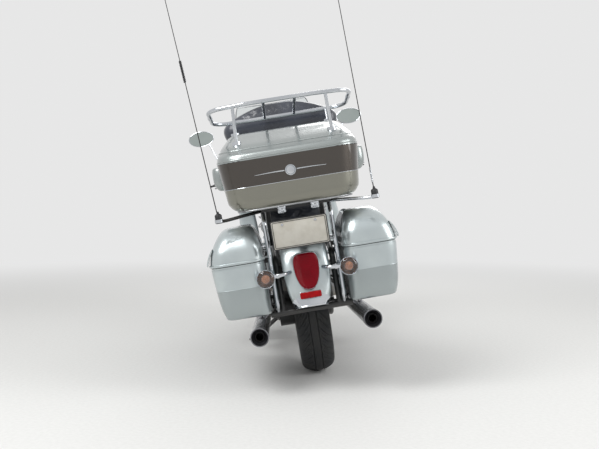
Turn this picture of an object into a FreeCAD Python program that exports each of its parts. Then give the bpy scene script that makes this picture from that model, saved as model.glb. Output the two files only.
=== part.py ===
import FreeCAD, Part
import math
import os

# Touring cruiser motorcycle, leaning on its side stand.
# Every piece is drawn on the upright machine: X forward from the rear axle, Y to the left,
# Z up from the ground, in millimetres. write() then leans the machine and moves the origin.

os.makedirs("parts", exist_ok=True)
V = FreeCAD.Vector
SIDES = (("left", 1), ("right", -1))

# stance
lean_deg = 9.23
origin_x = 694.6
origin_y = 190.3

# wheels and tyres
wheelbase = 1705.0
rear_tyre_radius = 325.0
rear_tyre_width = 155.0
rear_rim_radius = 190.5
front_tyre_radius = 323.0
front_tyre_width = 150.0
front_rim_radius = 203.2
crown_radius = 120.0
tread_depth = 18.0
sidewall_thickness = 12.0
axle_radius = 10.0
hub_radius = 44.0
hub_half_width = 66.0
running_clearance = 0.3
spoke_count = 5
spoke_width = 40.0
spoke_thickness = 30.0
rim_thickness = 12.0
disc_thickness = 5.0
front_disc_radius = 149.0
rear_disc_radius = 160.0

# steering
rake_deg = 29.25
steering_lead = 147.0
steering_ground_x = wheelbase + steering_lead
fork_offset = 29.6
fork_spread = 118.0
slider_radius = 30.0
stanchion_radius = 21.5
stem_radius = 16.0
clamp_thickness = 28.0
lower_clamp_at = 815.0
upper_clamp_at = 1020.0
bar_radius = 12.7
grip_radius = 17.0
wheel_clearance = 8.0

# frame
backbone_radius = 22.0
cradle_radius = 17.0
subframe_radius = 13.0
cradle_half_width = 130.0
cradle_height = 187.0
subframe_half_width = 125.0
subframe_height = 640.0
seat_base = 664.0

# luggage
bag_wall = 5.0
bag_inner_y = 172.0
bag_outer_y = 403.0
bag_bottom = 382.0
bag_seam = 615.0
bag_rear_x = -588.0
bag_front_x = -12.0
seam_clearance = 0.5
hinge_radius = 5.0
hinge_clearance = 0.6
trunk_wall = 5.0
trunk_bottom = 827.0
trunk_seam = 1043.0
trunk_half_width = 306.0
trunk_rear_x = -612.0
trunk_front_x = -125.0
rack_bar_radius = 9.0

# exhaust
muffler_radius = 38.0
muffler_wall = 3.0
tail_pipe_radius = 19.0

# side stand
stand_pivot = (830.0, 168.0, 172.0)
stand_foot = (880.0, 330.0)
stand_hinge = (0.047, 0.585, 0.810)
stand_pin_radius = 6.0
stand_eye_radius = 17.0
stand_eye_half = 13.0
stand_leg_radius = 12.0
stand_foot_radius = 30.0
stand_foot_thickness = 8.0

lean = math.radians(lean_deg)
lift = crown_radius * (1 - math.cos(lean))
rake = math.radians(rake_deg)
axle_along = (steering_ground_x - wheelbase) * math.sin(rake) + front_tyre_radius * math.cos(rake)


def box(x0, x1, y0, y1, z0, z1):
    """Box between two X, two Y and two Z values."""
    y_low, y_high = min(y0, y1), max(y0, y1)
    return Part.makeBox(x1 - x0, y_high - y_low, z1 - z0, V(x0, y_low, z0))


def rod(start, end, radius):
    """Round bar from one point to another."""
    a, b = V(*start), V(*end)
    return Part.makeCylinder(radius, (b - a).Length, a, b - a)


def disc_y(x, z, radius, y0, y1):
    """Cylinder about an axis along Y."""
    y_low, y_high = min(y0, y1), max(y0, y1)
    return Part.makeCylinder(radius, y_high - y_low, V(x, y_low, z), V(0, 1, 0))


def bent_path(points, bend):
    """Wire of straight runs joined by tangent arcs of one radius."""
    points = [V(*p) for p in points]
    edges = []
    start = points[0]
    for before, corner, after in zip(points, points[1:], points[2:]):
        to_start = (before - corner).normalize()
        to_end = (after - corner).normalize()
        half = to_start.getAngle(to_end) / 2
        reach = min(bend / math.tan(half), 0.45 * (before - corner).Length, 0.45 * (after - corner).Length)
        radius = reach * math.tan(half)
        inward = (to_start + to_end).normalize()
        middle = corner + inward * (radius / math.sin(half) - radius)
        first, last = corner + to_start * reach, corner + to_end * reach
        edges.append(Part.makeLine(start, first))
        edges.append(Part.Arc(first, middle, last).toShape())
        start = last
    edges.append(Part.makeLine(start, points[-1]))
    return Part.Wire(edges)


def tube(points, radius, bend=60.0):
    """Round tube along straight runs with bends of one radius."""
    if len(points) == 2:
        return rod(points[0], points[1], radius)
    path = bent_path(points, bend)
    direction = V(*points[1]) - V(*points[0])
    ring = Part.Wire([Part.makeCircle(radius, V(*points[0]), direction)])
    return path.makePipeShell([ring], True, False)


def rounded(corners, radius, place):
    """Rounded rectangle wire; place turns a flat (a, b) pair into a point."""
    (a0, a1), (b0, b1) = corners
    r = min(radius, 0.48 * (a1 - a0), 0.48 * (b1 - b0))
    k = r * (1 - math.sqrt(0.5))
    stations = [
        ((a0 + r, b0), (a1 - r, b0), (a1 - k, b0 + k), (a1, b0 + r)),
        ((a1, b0 + r), (a1, b1 - r), (a1 - k, b1 - k), (a1 - r, b1)),
        ((a1 - r, b1), (a0 + r, b1), (a0 + k, b1 - k), (a0, b1 - r)),
        ((a0, b1 - r), (a0, b0 + r), (a0 + k, b0 + k), (a0 + r, b0)),
    ]
    edges = []
    for start, end, middle, after in stations:
        edges.append(Part.makeLine(place(*start), place(*end)))
        edges.append(Part.Arc(place(*end), place(*middle), place(*after)).toShape())
    return Part.Wire(edges)


def loft_z(rows, ruled=False):
    """Solid through rounded rectangles that lie flat. Rows: z, x0, x1, y0, y1, corner radius."""
    wires = []
    for z, x0, x1, y0, y1, radius in rows:
        y_low, y_high = min(y0, y1), max(y0, y1)
        wires.append(rounded(((x0, x1), (y_low, y_high)), radius, lambda a, b, z=z: V(a, b, z)))
    return Part.makeLoft(wires, True, ruled)


def loft_x(rows, ruled=False):
    """Solid through upright rounded rectangles. Rows: x, half width, z0, z1, corner radius."""
    wires = []
    for x, half, z0, z1, radius in rows:
        wires.append(rounded(((-half, half), (z0, z1)), radius, lambda a, b, x=x: V(x, a, b)))
    return Part.makeLoft(wires, True, ruled)


def loft_oval(rows, y, z):
    """Solid through upright ovals about one centre. Rows: x, half width, half height."""
    wires = []
    for x, half_width, half_height in rows:
        oval = Part.Ellipse(V(x, y + half_width, z), V(x, y, z + half_height), V(x, y, z))
        wires.append(Part.Wire([oval.toShape()]))
    return Part.makeLoft(wires, True, True)


def inset_z(rows, wall, rise):
    """The rows of loft_z moved in by a wall and up by a rise."""
    inner = []
    for z, x0, x1, y0, y1, radius in rows:
        y_low, y_high = min(y0, y1), max(y0, y1)
        inner.append((z + rise, x0 + wall, x1 - wall, y_low + wall, y_high - wall, radius - wall))
    return inner


def tub(rows, wall):
    """Open-topped shell with a floor."""
    inner = inset_z(rows, wall, wall)
    top = inner[-1]
    inner[-1] = (rows[-1][0], *top[1:])
    inner.append((rows[-1][0] + wall, *top[1:]))
    return loft_z(rows, True).cut(loft_z(inner, True))


def cover(rows, wall):
    """Shell that is open below."""
    inner = inset_z(rows, wall, -wall)
    return loft_z(rows, True).cut(loft_z(inner, True))


def outline_xz(points, y0, y1):
    """Plate with straight edges drawn in the side view."""
    corners = [V(x, min(y0, y1), z) for x, z in points]
    face = Part.Face(Part.makePolygon(corners + [corners[0]]))
    return face.extrude(V(0, abs(y1 - y0), 0))


def turned(axle, profile, start_deg=0.0, sweep_deg=360.0):
    """Closed (y, radius) profile turned about an axle; the angle runs from forward over the top."""
    x, z = axle
    points = [V(x + radius, y, z) for y, radius in profile]
    face = Part.Face(Part.makePolygon(points + [points[0]]))
    face.rotate(V(x, 0, z), V(0, 1, 0), -start_deg)
    if sweep_deg == 360.0:
        return face.revolve(V(x, 0, z), V(0, 1, 0), 360)
    return face.revolve(V(x, 0, z), V(0, -1, 0), sweep_deg)


def steered(shape):
    """Move a shape from the steering frame (forward, left, up along the axis) to the machine."""
    shape = shape.copy()
    shape.rotate(V(0, 0, 0), V(0, 1, 0), -rake_deg)
    shape.translate(V(steering_ground_x, 0, 0))
    return shape


def fused(shapes):
    """One solid from several that overlap."""
    whole = shapes[0].multiFuse(shapes[1:]) if len(shapes) > 1 else shapes[0]
    return whole.removeSplitter()


def both_sides(make):
    """The left solid and its mirror image, kept as two solids."""
    left = make(1)
    right = make(-1)
    return Part.makeCompound([left, right])


def mirrored(points, side):
    """Points of the left side, or their mirror images."""
    return [(x, side * y, z) for x, y, z in points]


def nose(point):
    """A point given from the front axle's X, as one of the machine."""
    x, y, z = point
    return (wheelbase + x, y, z)


def write(name, shape):
    """Lean the machine, lift it onto its tyres, move the origin and write the piece."""
    shape = shape.copy()
    shape.rotate(V(0, 0, 0), V(1, 0, 0), -lean_deg)
    shape.translate(V(-origin_x, -origin_y, lift))
    solids = Part.makeCompound(shape.Solids)
    solids.exportStep(f"parts/{name}.step")
    return solids


# wheels

def tyre(axle, radius, width, rim_radius):
    """Tyre with a round crown, shoulders and open inside."""
    half = width / 2
    shoulder_y = 0.71 * half
    shoulder_r = radius - crown_radius + math.sqrt(crown_radius**2 - shoulder_y**2)
    side_r = (radius + rim_radius) / 2
    bead_y = 0.76 * half
    x, z = axle
    corner = (0.965 * half, (shoulder_r + side_r) / 2 + 8)

    def point(y, r):
        return V(x + r, y, z)

    outer = [
        Part.Arc(point(shoulder_y, shoulder_r), point(0, radius), point(-shoulder_y, shoulder_r)).toShape(),
        Part.Arc(
            point(-shoulder_y, shoulder_r), point(-corner[0], corner[1]), point(-half, side_r)
        ).toShape(),
        Part.makeLine(point(-half, side_r), point(-bead_y, rim_radius)),
        Part.makeLine(point(-bead_y, rim_radius), point(-bead_y + sidewall_thickness, rim_radius)),
        Part.makeLine(
            point(-bead_y + sidewall_thickness, rim_radius), point(-half + sidewall_thickness, side_r)
        ),
        Part.Arc(
            point(-half + sidewall_thickness, side_r),
            point(0, radius - tread_depth),
            point(half - sidewall_thickness, side_r),
        ).toShape(),
        Part.makeLine(
            point(half - sidewall_thickness, side_r), point(bead_y - sidewall_thickness, rim_radius)
        ),
        Part.makeLine(point(bead_y - sidewall_thickness, rim_radius), point(bead_y, rim_radius)),
        Part.makeLine(point(bead_y, rim_radius), point(half, side_r)),
        Part.Arc(
            point(half, side_r), point(corner[0], corner[1]), point(shoulder_y, shoulder_r)
        ).toShape(),
    ]
    return Part.Face(Part.Wire(outer)).revolve(V(x, 0, z), V(0, 1, 0), 360)


def rim(axle, rim_radius, width):
    """Cast wheel: ring, spokes and hub with the axle's bore."""
    x, z = axle
    half = 0.38 * width
    inner = rim_radius - rim_thickness
    ring = turned(axle, [(-half, inner), (half, inner), (half, rim_radius), (-half, rim_radius)])
    hub = disc_y(x, z, hub_radius, -hub_half_width, hub_half_width)
    pieces = [ring, hub]
    for index in range(spoke_count):
        spoke = box(
            x + hub_radius - 8, x + inner + 4, -spoke_thickness / 2, spoke_thickness / 2,
            z - spoke_width / 2, z + spoke_width / 2,
        )
        spoke.rotate(V(x, 0, z), V(0, 1, 0), 90 + 360 * index / spoke_count)
        pieces.append(spoke)
    bore = disc_y(x, z, axle_radius + running_clearance, -hub_half_width, hub_half_width)
    return fused(pieces).cut(bore)


def disc(axle, radius, side):
    """Brake disc with its carrier, seated on the end of the hub."""
    x, z = axle
    y0 = side * hub_half_width
    y1 = side * (hub_half_width + disc_thickness)
    plate = disc_y(x, z, radius, y0, y1).cut(disc_y(x, z, hub_radius - 16, y0, y1))
    for index in range(spoke_count):
        window = disc_y(x + 0.5 * (radius + hub_radius) - 12, z, 18, y0, y1)
        window.rotate(V(x, 0, z), V(0, 1, 0), 90 + 360 * index / spoke_count)
        plate = plate.cut(window)
    return plate


rear_axle = (0.0, rear_tyre_radius)
front_axle = (wheelbase, front_tyre_radius)
rear_caliper_slot = disc_y(
    *rear_axle, rear_disc_radius + 5, -hub_half_width + 3, -hub_half_width - disc_thickness - 3
)


# fork, bars and what turns with them

def fork_legs():
    """Two legs, their clamps, the stem, the axle and the brake calipers."""
    u = fork_offset
    pieces = []
    for _, side in SIDES:
        y = side * fork_spread
        pieces.append(rod((u, y, axle_along - 32), (u, y, axle_along + 330), slider_radius))
        pieces.append(rod((u, y, axle_along + 300), (u, y, upper_clamp_at + 34), stanchion_radius))
        pieces.append(rod((u, y, lower_clamp_at - 125), (u, y, lower_clamp_at + 4), slider_radius + 3))
    for low in (lower_clamp_at, upper_clamp_at):
        pieces.append(box(u - 24, u + 24, -fork_spread, fork_spread, low, low + clamp_thickness))
        pieces.append(rod((0, 0, low), (0, 0, low + clamp_thickness), stem_radius + 14))
        for _, side in SIDES:
            y = side * fork_spread
            pieces.append(rod((u, y, low), (u, y, low + clamp_thickness), slider_radius + 6))
    pieces.append(rod((0, 0, lower_clamp_at + 4), (0, 0, upper_clamp_at + 4), stem_radius))
    pieces.append(disc_y(u, axle_along, axle_radius, -fork_spread - 36, fork_spread + 36))
    slot_inner = hub_half_width - 5
    slot_outer = hub_half_width + disc_thickness + 5
    for _, side in SIDES:
        block = box(
            u - 158, u - 18, side * (hub_half_width - 22), side * (fork_spread - 4),
            axle_along + 62, axle_along + 142,
        )
        block = block.cut(disc_y(u, axle_along, front_disc_radius + 5, side * slot_inner, side * slot_outer))
        keep = disc_y(u, axle_along, 168, side * 30, side * 140)
        pieces.append(block.common(keep))
    legs = steered(fused(pieces))
    bosses = []
    for x, z in fender_bosses():
        for _, side in SIDES:
            bosses.append(disc_y(x, z, 14, side * (fender_half), side * fork_spread))
    return fused([legs, *bosses])


fender_half = front_tyre_width / 2 + wheel_clearance + 3.0
fender_wall = 3.0
fender_radius = front_tyre_radius + 29.0


def fender_bosses():
    """Where the front fender is held by the fork sliders."""
    reach = fender_radius - 50
    slope = math.radians(90 + rake_deg)
    x = wheelbase + reach * math.cos(slope)
    z = front_tyre_radius + reach * math.sin(slope)
    return [(x, z)]


def front_fender():
    """Deep fender with a round top that wraps the tyre."""
    outer = [
        (fender_half, 268), (fender_half, fender_radius - 34), (fender_half - 10, fender_radius - 12),
        (fender_half - 32, fender_radius), (-fender_half + 32, fender_radius),
        (-fender_half + 10, fender_radius - 12), (-fender_half, fender_radius - 34), (-fender_half, 268),
    ]
    w = fender_wall
    inner = [
        (-fender_half + w, 268), (-fender_half + w, fender_radius - 35),
        (-fender_half + 12, fender_radius - 15), (-fender_half + 33, fender_radius - w),
        (fender_half - 33, fender_radius - w), (fender_half - 12, fender_radius - 15),
        (fender_half - w, fender_radius - 35), (fender_half - w, 268),
    ]
    return turned(front_axle, outer + inner, 22.0, 180.0)


def handlebar():
    """Bar with its risers on the upper clamp."""
    middle_x, middle_z = -409, 990
    half = [(-747, 402, 1000), (-620, 348, 1014), (-515, 285, 1020), (middle_x, 95, middle_z)]
    points = [nose(p) for p in half + mirrored(half[::-1], -1)]
    bar = tube(points, bar_radius, 60)
    clamp_top = upper_clamp_at + clamp_thickness
    seat_z = clamp_top * math.cos(rake)
    seat_x = steering_ground_x - clamp_top * math.sin(rake)
    risers = []
    for y in (-48, 48):
        risers.append(rod((seat_x + 8, y, seat_z - 10), nose((middle_x, y, middle_z)), 15))
    below = steered(box(-200, 200, -200, 200, upper_clamp_at - 40, clamp_top))
    return fused([bar, *risers]).cut(below)


def grips():
    """Grips, switch housings and levers."""
    def make(side):
        end = nose((-745, side * 401.2, 1000.2))
        inner = nose((-633, side * 353.5, 1012.6))
        lever_root = nose((-577, side * 372, 1006))
        grip = rod(end, inner, grip_radius)
        housing = rod(inner, nose((-597, side * 336, 1016)), 24)
        pivot = rod(nose((-615, side * 345, 1014)), lever_root, 10)
        lever = tube([lever_root, nose((-620, side * 402, 1000)), nose((-720, side * 438, 990))], 6, 20)
        held = fused([grip, housing, pivot, lever])
        return held.cut(handlebar_shape)
    return both_sides(make)


def mirrors():
    """Oval mirrors on thin stalks."""
    def make(side):
        # mirror rows, rear to front: x from the front axle, half width, half height
        rows = [(-569, 77.5, 46.5), (-557, 75, 44), (-541, 46, 26)]
        head = loft_oval([(wheelbase + x, a, b) for x, a, b in rows], side * 461, 1291)
        stalk = tube([nose(p) for p in mirrored(
            [(-619, 348, 1030), (-605, 372, 1130), (-559, 420, 1262), (-555, 440, 1285)], side)], 5.5, 60)
        held = fused([head, stalk])
        return held.cut(handlebar_shape).cut(grips_shape)
    return both_sides(make)


def along_hinge(start, end, radius):
    """Cylinder about the side stand's hinge, between two distances from its middle."""
    pivot, axis = V(*stand_pivot), V(*stand_hinge).normalize()
    return rod(tuple(pivot + axis * start), tuple(pivot + axis * end), radius)


# frame and running gear

def frame_tubes():
    """Steering head, backbone, double cradle, subframe and what it carries luggage with."""
    head = steered(rod((0, 0, lower_clamp_at + clamp_thickness + 1), (0, 0, upper_clamp_at - 1), 30))
    pieces = [head]
    pieces.append(tube([nose((-303, 0, 800)), (1180, 0, 690), (700, 0, 690), (420, 0, 640)],
                       backbone_radius, 120))
    for _, side in SIDES:
        cradle = mirrored(
            [nose((-313, 16, 812)), (1215, 85, 560), (1150, 118, 300),
             (1120, cradle_half_width, cradle_height), (560, cradle_half_width, cradle_height),
             (455, cradle_half_width, 300), (430, cradle_half_width, 440),
             (405, subframe_half_width, subframe_height)], side
        )
        pieces.append(tube(cradle, cradle_radius, 90))
        rail = mirrored(
            [(405, subframe_half_width, subframe_height), (-300, subframe_half_width, subframe_height),
             (-440, subframe_half_width, subframe_height - 50), (-455, subframe_half_width, 365)], side
        )
        pieces.append(tube(rail, subframe_radius, 60))
        lower = mirrored([(432, 134, 400), (330, 168, 372), (-455, 168, 365)], side)
        pieces.append(tube(lower, 11, 60))
        for x, z in ((-90, subframe_height), (-330, subframe_height - 14)):
            pieces.append(rod((x, side * subframe_half_width, z - 30), (x, side * bag_inner_y, z - 30), 11))
            pieces.append(rod((x, side * subframe_half_width, z - 30), (x, side * subframe_half_width, z), 9))
        for x in (-90, -400):
            stay_y = bag_inner_y - 10
            pieces.append(rod((x, side * stay_y, 368), (x, side * stay_y, 402), 8))
            pieces.append(rod((x, side * stay_y, 402), (x, side * bag_inner_y, 402), 8))
        post = mirrored([(-200, subframe_half_width, subframe_height), (-240, subframe_half_width, 818)],
                        side)
        pieces.append(rod(post[0], post[1], 12))
        plate = box(380, 445, side * 113, side * 147, 296, 364)
        pieces.append(plate)
    pieces.append(rod((-455, -182, 365), (-455, 182, 365), 14))
    pieces.append(rod((-300, -subframe_half_width, subframe_height),
                      (-300, subframe_half_width, subframe_height), 10))
    pieces.append(box(-520, -180, -150, 150, trunk_bottom - 12, trunk_bottom))
    for x in (600, 1000):
        pieces.append(rod((x, -cradle_half_width, cradle_height), (x, cradle_half_width, cradle_height), 14))
    pieces.append(box(430, 655, -95, 95, seat_base - 13, seat_base))
    for x0, x1 in ((850, 900), (1130, 1175)):
        pieces.append(box(x0, x1, -60, 60, 700, tank_rows[0][2] + 18))
    pieces.append(box(stand_pivot[0] - 22, stand_pivot[0] + 22, cradle_half_width - 6, 197, 193, 206))
    pieces.append(along_hinge(stand_eye_half + 1.0, 30, 15))
    pieces.append(along_hinge(-stand_eye_half - 8, stand_eye_half + 4, stand_pin_radius))
    pieces.append(along_hinge(-stand_eye_half - 8, -stand_eye_half - 1.0, 11))
    frame = fused(pieces)
    bore = steered(rod((0, 0, lower_clamp_at), (0, 0, upper_clamp_at + 30),
                       stem_radius + running_clearance + 0.2))
    return frame.cut(bore)


# fuel tank rows: x, half width, z0, z1, corner radius
tank_rows = [
    (822, 118, 742, 845, 45),
    (950, 168, 738, 898, 78),
    (1150, 170, 745, 915, 82),
    (1288, 80, 792, 898, 48),
]


def fuel_tank():
    """Teardrop tank over the backbone."""
    return loft_x(tank_rows).cut(frame_shape)


def seat():
    """Rider's seat low, passenger's seat a step higher."""
    rider = loft_x([
        (398, 165, seat_base, 812, 60), (520, 190, seat_base, 772, 48), (680, 172, seat_base, 762, 45),
        (818, 112, 690, 800, 45),
    ])
    passenger = loft_x([
        (-96, 150, 700, 822, 50), (120, 176, 700, 848, 60), (402, 166, 676, 842, 62),
    ])
    return fused([rider, passenger]).cut(frame_shape).cut(tank_shape)


def engine_block():
    """Crankcase as one heavy block, narrower below."""
    lower = loft_z([(206, 610, 1082, -140, 140, 40), (272, 592, 1092, -158, 158, 40)], True)
    upper = loft_z([(272, 580, 1100, -190, 190, 45), (405, 600, 1080, -182, 182, 45)], True)
    return fused([lower, upper]).cut(frame_shape)


crank = (848.0, 330.0)
bank_deg = 35.0
bank_length = 340.0
bank_half = 72.0
fin_count = 9


def engine_cylinders():
    """Two banks in a V, each with its row of fins and a rocker cover."""
    pieces = []
    for sign in (1, -1):
        bank = box(-bank_half, bank_half, -150, 150, 40, bank_length - 40)
        head = box(-bank_half + 12, bank_half - 12, -140, 140, bank_length - 42, bank_length)
        parts = [bank, head]
        for index in range(fin_count):
            low = 120 + index * 18
            parts.append(box(-bank_half - 12, bank_half + 12, -162, 162, low, low + 6))
        bank = fused(parts)
        bank.rotate(V(0, 0, 0), V(0, 1, 0), sign * bank_deg)
        bank.translate(V(crank[0], 0, crank[1]))
        pieces.append(bank)
    airbox = box(crank[0] - 85, crank[0] + 85, -125, 125, crank[1] + 225, crank[1] + 325)
    pieces.append(airbox)
    return fused(pieces).cut(block_shape).cut(frame_shape)


def engine_covers():
    """Round covers on both sides of the engine."""
    pieces = []
    # cover columns: side, x, z, radius, inner y, outer y
    covers = [
        (1, 860, 350, 82, 160, 222), (1, 712, 342, 60, 160, 212), (1, 1000, 345, 46, 160, 208),
        (-1, 850, 348, 86, 160, 226), (-1, 700, 345, 58, 160, 210), (-1, 1000, 340, 50, 160, 208),
        (1, 848, 600, 52, 120, 178), (-1, 848, 600, 52, 120, 178),
    ]
    for side, x, z, radius, y0, y1 in covers:
        drum = disc_y(x, z, radius, side * y0, side * y1)
        pieces.append(drum.cut(block_shape).cut(cylinders_shape).cut(frame_shape))
    return Part.makeCompound(pieces)


def radiator():
    """Radiator ahead of the down tubes, with lugs on them."""
    core = box(1252, 1290, -150, 150, 325, 560)
    pieces = [core]
    for _, side in SIDES:
        pieces.append(box(1195, 1256, side * 78, side * 102, 500, 530))
        pieces.append(box(1160, 1256, side * 108, side * 128, 340, 366))
    held = fused(pieces).cut(frame_shape)
    return max(held.Solids, key=lambda solid: solid.Volume)


def exhaust(side):
    """Header, link pipe and muffler of one side."""
    header = tube(mirrored(
        [(1078, 132, 545), (1150, 168, 490), (1146, 196, 262), (1040, 218, 230), (600, 218, 232),
         (508, 231, 259.5)], side), 22, 70)
    front, tip = (440, 232, 262), (-618, 242, 301)
    shell = rod(*mirrored([front, tip], side), muffler_radius)
    run = V(*mirrored([tip], side)[0]) - V(*mirrored([front], side)[0])
    axis = run * (1 / run.Length)

    def at(distance):
        """Point on the muffler's axis, measured forward from its tip."""
        return tuple(V(*mirrored([tip], side)[0]) - axis * distance)

    ring = rod(at(60), at(0), muffler_radius + 2)
    hollow = rod(at(run.Length - 6), at(-5), muffler_radius - muffler_wall)
    baffle = rod(at(144), at(140), muffler_radius - muffler_wall + 0.5)
    inner_pipe = rod(at(144), at(22), tail_pipe_radius)
    inner_bore = rod(at(150), at(20), tail_pipe_radius - 3)
    nose = Part.makeCone(22, muffler_radius, 70, V(*at(run.Length + 70)), axis)
    pipe = fused([shell, ring]).cut(hollow)
    inner_pipe = fused([baffle, inner_pipe]).cut(inner_bore)
    hanger = rod((-180, side * 168, 365), (-180, side * 236, 300), 8)
    link = rod((-180, side * 236, 330), (-180, side * 236, 290), 10)
    whole = fused([header, nose, pipe, inner_pipe, hanger, link])
    return whole.cut(frame_shape).cut(block_shape).cut(cylinders_shape).cut(covers_shape)


def swingarm():
    """Pivot tube, two arms, shaft housing, final drive, axle and rear caliper."""
    x, z = rear_axle
    pivot = disc_y(398, 330, 25, -113, 113)
    right_arm = outline_xz([(398, 304), (398, 356), (20, 350), (-30, 325), (20, 300)], -88, -112)
    left_arm = rod((398, 100, 330), (40, 112, z), 26)
    drive = disc_y(x, z, 84, hub_half_width + 1, 150)
    hub_cap = disc_y(x, z, 46, 150, 166)
    spindle = disc_y(x, z, axle_radius, -128, 100)
    nut = disc_y(x, z, 18, -128, -112)
    caliper = box(30, 150, -112, -46, z + 66, z + 136)
    caliper = caliper.cut(rear_caliper_slot).common(disc_y(x, z, 172, -40, -130))
    bracket = box(30, 140, -112, -88, z + 10, z + 100)
    keep_clear = turned(rear_axle, [(-84, 178), (84, 178), (84, 420), (-84, 420)])
    whole = fused([pivot, right_arm, left_arm, drive, hub_cap, spindle, nut, caliper, bracket])
    return whole.cut(keep_clear).cut(frame_shape)


# rear end

rear_fender_half = 105.0
rear_fender_wall = 4.0


def fender_side(grow):
    """Side outline of the rear fender as points, moved in by a distance."""
    return [
        (150 - grow, 560 + grow), (130 - grow, 690 - grow), (-250, 700 - grow), (-420, 690 - grow),
        (-520 + grow, 655 - grow), (-562 + grow, 590), (-588 + grow, 480), (-612 + grow, 392),
    ]


def fender_solid(grow):
    """Fender without its hollow, narrower towards the tip."""
    top = fender_side(grow)
    y = rear_fender_half - grow
    slab = outline_xz([*top, (-560, 392), (-440, 470), (-330, 540), (0, 560)], -y, y)
    tip = loft_z([
        (385, -700, 300, -66 + grow, 66 - grow, 20), (412, -700, 300, -81 + grow, 81 - grow, 24),
        (450, -700, 300, -93 + grow, 93 - grow, 28), (535, -700, 300, -101 + grow, 101 - grow, 34),
        (640, -700, 300, -y, y, 40), (720, -700, 300, -y + 30, y - 30, 40),
    ], True)
    return slab.common(tip)


def rear_fender():
    """Hollow fender over the rear wheel, open below."""
    outer = fender_solid(0)
    hollow = fender_solid(rear_fender_wall)
    hollow_low = hollow.copy()
    hollow_low.translate(V(8, 0, -10))
    hollow = hollow.fuse(hollow_low)
    wheel_room = turned(rear_axle, [(-98, 0.5), (98, 0.5), (98, 352), (-98, 352)])
    shell = outer.cut(hollow).cut(wheel_room).cut(frame_shape)
    return Part.makeCompound([max(shell.Solids, key=lambda solid: solid.Volume)])


def tail_lamp():
    """Shield-shaped lamp on the fender with a reflector below it."""
    x0, x1 = -612, -540
    low, widest, top = 463, 566, 624
    edges = [
        Part.makeLine(V(x0, -42, top), V(x0, 42, top)),
        Part.Arc(V(x0, 42, top), V(x0, 54, widest + 34), V(x0, 56, widest)).toShape(),
        Part.Arc(V(x0, 56, widest), V(x0, 48, widest - 56), V(x0, 24, low + 7)).toShape(),
        Part.Arc(V(x0, 24, low + 7), V(x0, 0, low), V(x0, -24, low + 7)).toShape(),
        Part.Arc(V(x0, -24, low + 7), V(x0, -48, widest - 56), V(x0, -56, widest)).toShape(),
        Part.Arc(V(x0, -56, widest), V(x0, -54, widest + 34), V(x0, -42, top)).toShape(),
    ]
    lens = Part.Face(Part.Wire(edges)).extrude(V(x1 - x0, 0, 0))
    reflector = box(-622, -560, -46, 46, 430, 458)
    pieces = []
    for solid in (lens, reflector):
        cut = solid.cut(fender_filled).cut(frame_shape)
        pieces.append(max(cut.Solids, key=lambda piece: -piece.BoundBox.XMin))
    return Part.makeCompound(pieces)


def rear_signals():
    """Round signals on stalks from the fender."""
    def make(side):
        housing = Part.makeCylinder(37, 30, V(-636, side * 177, 539), V(1, 0, 0))
        cup = Part.makeCone(37, 20, 14, V(-606, side * 177, 539), V(1, 0, 0))
        stalk = tube([(-600, side * 160, 540), (-596, side * 110, 544), (-560, side * 60, 548)], 8, 20)
        whole = fused([housing, cup, stalk])
        whole = whole.cut(fender_filled).cut(frame_shape).cut(tail_lamp_shape)
        return max(whole.Solids, key=lambda solid: solid.Volume)
    return both_sides(make)


plate_width = 235.0
plate_height = 118.0
plate_centre = (-634.0, 3.0, 712.0)


def plate():
    """Blank number plate on its bracket."""
    x, y, z = plate_centre
    half_width, half_height = plate_width / 2, plate_height / 2
    sheet = box(x, x + 2, y - half_width, y + half_width, z - half_height, z + half_height)
    backing = box(x + 2, x + 8, y - 90, y + 90, z - 45, z + 45)
    arm = box(x + 8, -440, -22, 22, 668, 684)
    whole = fused([sheet, backing, arm])
    whole = whole.cut(fender_filled).cut(frame_shape)
    return max(whole.Solids, key=lambda solid: solid.Volume)


def rear_rails():
    """Chrome rails each side of the fender, from the cross tube up to the trunk."""
    def make(side):
        rail = tube(mirrored([(-455, 146, 372), (-500, 146, 410), (-500, 146, 770), (-470, 146, 818)],
                             side), 10, 40)
        return rail.cut(frame_shape)
    return both_sides(make)


# luggage

def trunk_hinge(low, high, radius):
    """Two barrels on the trunk's hinge line, between two distances from the middle."""
    x, z = trunk_front_x + hinge_radius - 1, trunk_seam + seam_clearance / 2
    return [disc_y(x, z, radius, side * low, side * high) for _, side in SIDES]


def bag_hinge(side, first, radius):
    """Two barrels on a saddlebag's hinge line, from their first ends."""
    y, z = side * (bag_outer_y + 1), bag_seam + seam_clearance / 2
    return [rod((x + first, y, z), (x + first + 39.5, y, z), radius) for x in (-420, -220)]


def bag_rows(side):
    """Saddlebag body rows: z, x0, x1, y0, y1, corner radius."""
    return [
        (bag_bottom, bag_rear_x + 14, bag_front_x - 40, side * bag_inner_y, side * 367, 42),
        (bag_bottom + 60, bag_rear_x + 4, bag_front_x - 14, side * bag_inner_y, side * 386, 52),
        (bag_seam, bag_rear_x, bag_front_x, side * bag_inner_y, side * bag_outer_y, 58),
    ]


def bag(side):
    """Saddlebag body, open at the seam."""
    body = fused([tub(bag_rows(side), bag_wall), *bag_hinge(side, 0, hinge_radius)])
    for barrel in bag_hinge(side, 40, hinge_radius + hinge_clearance):
        body = body.cut(barrel)
    return body


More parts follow.
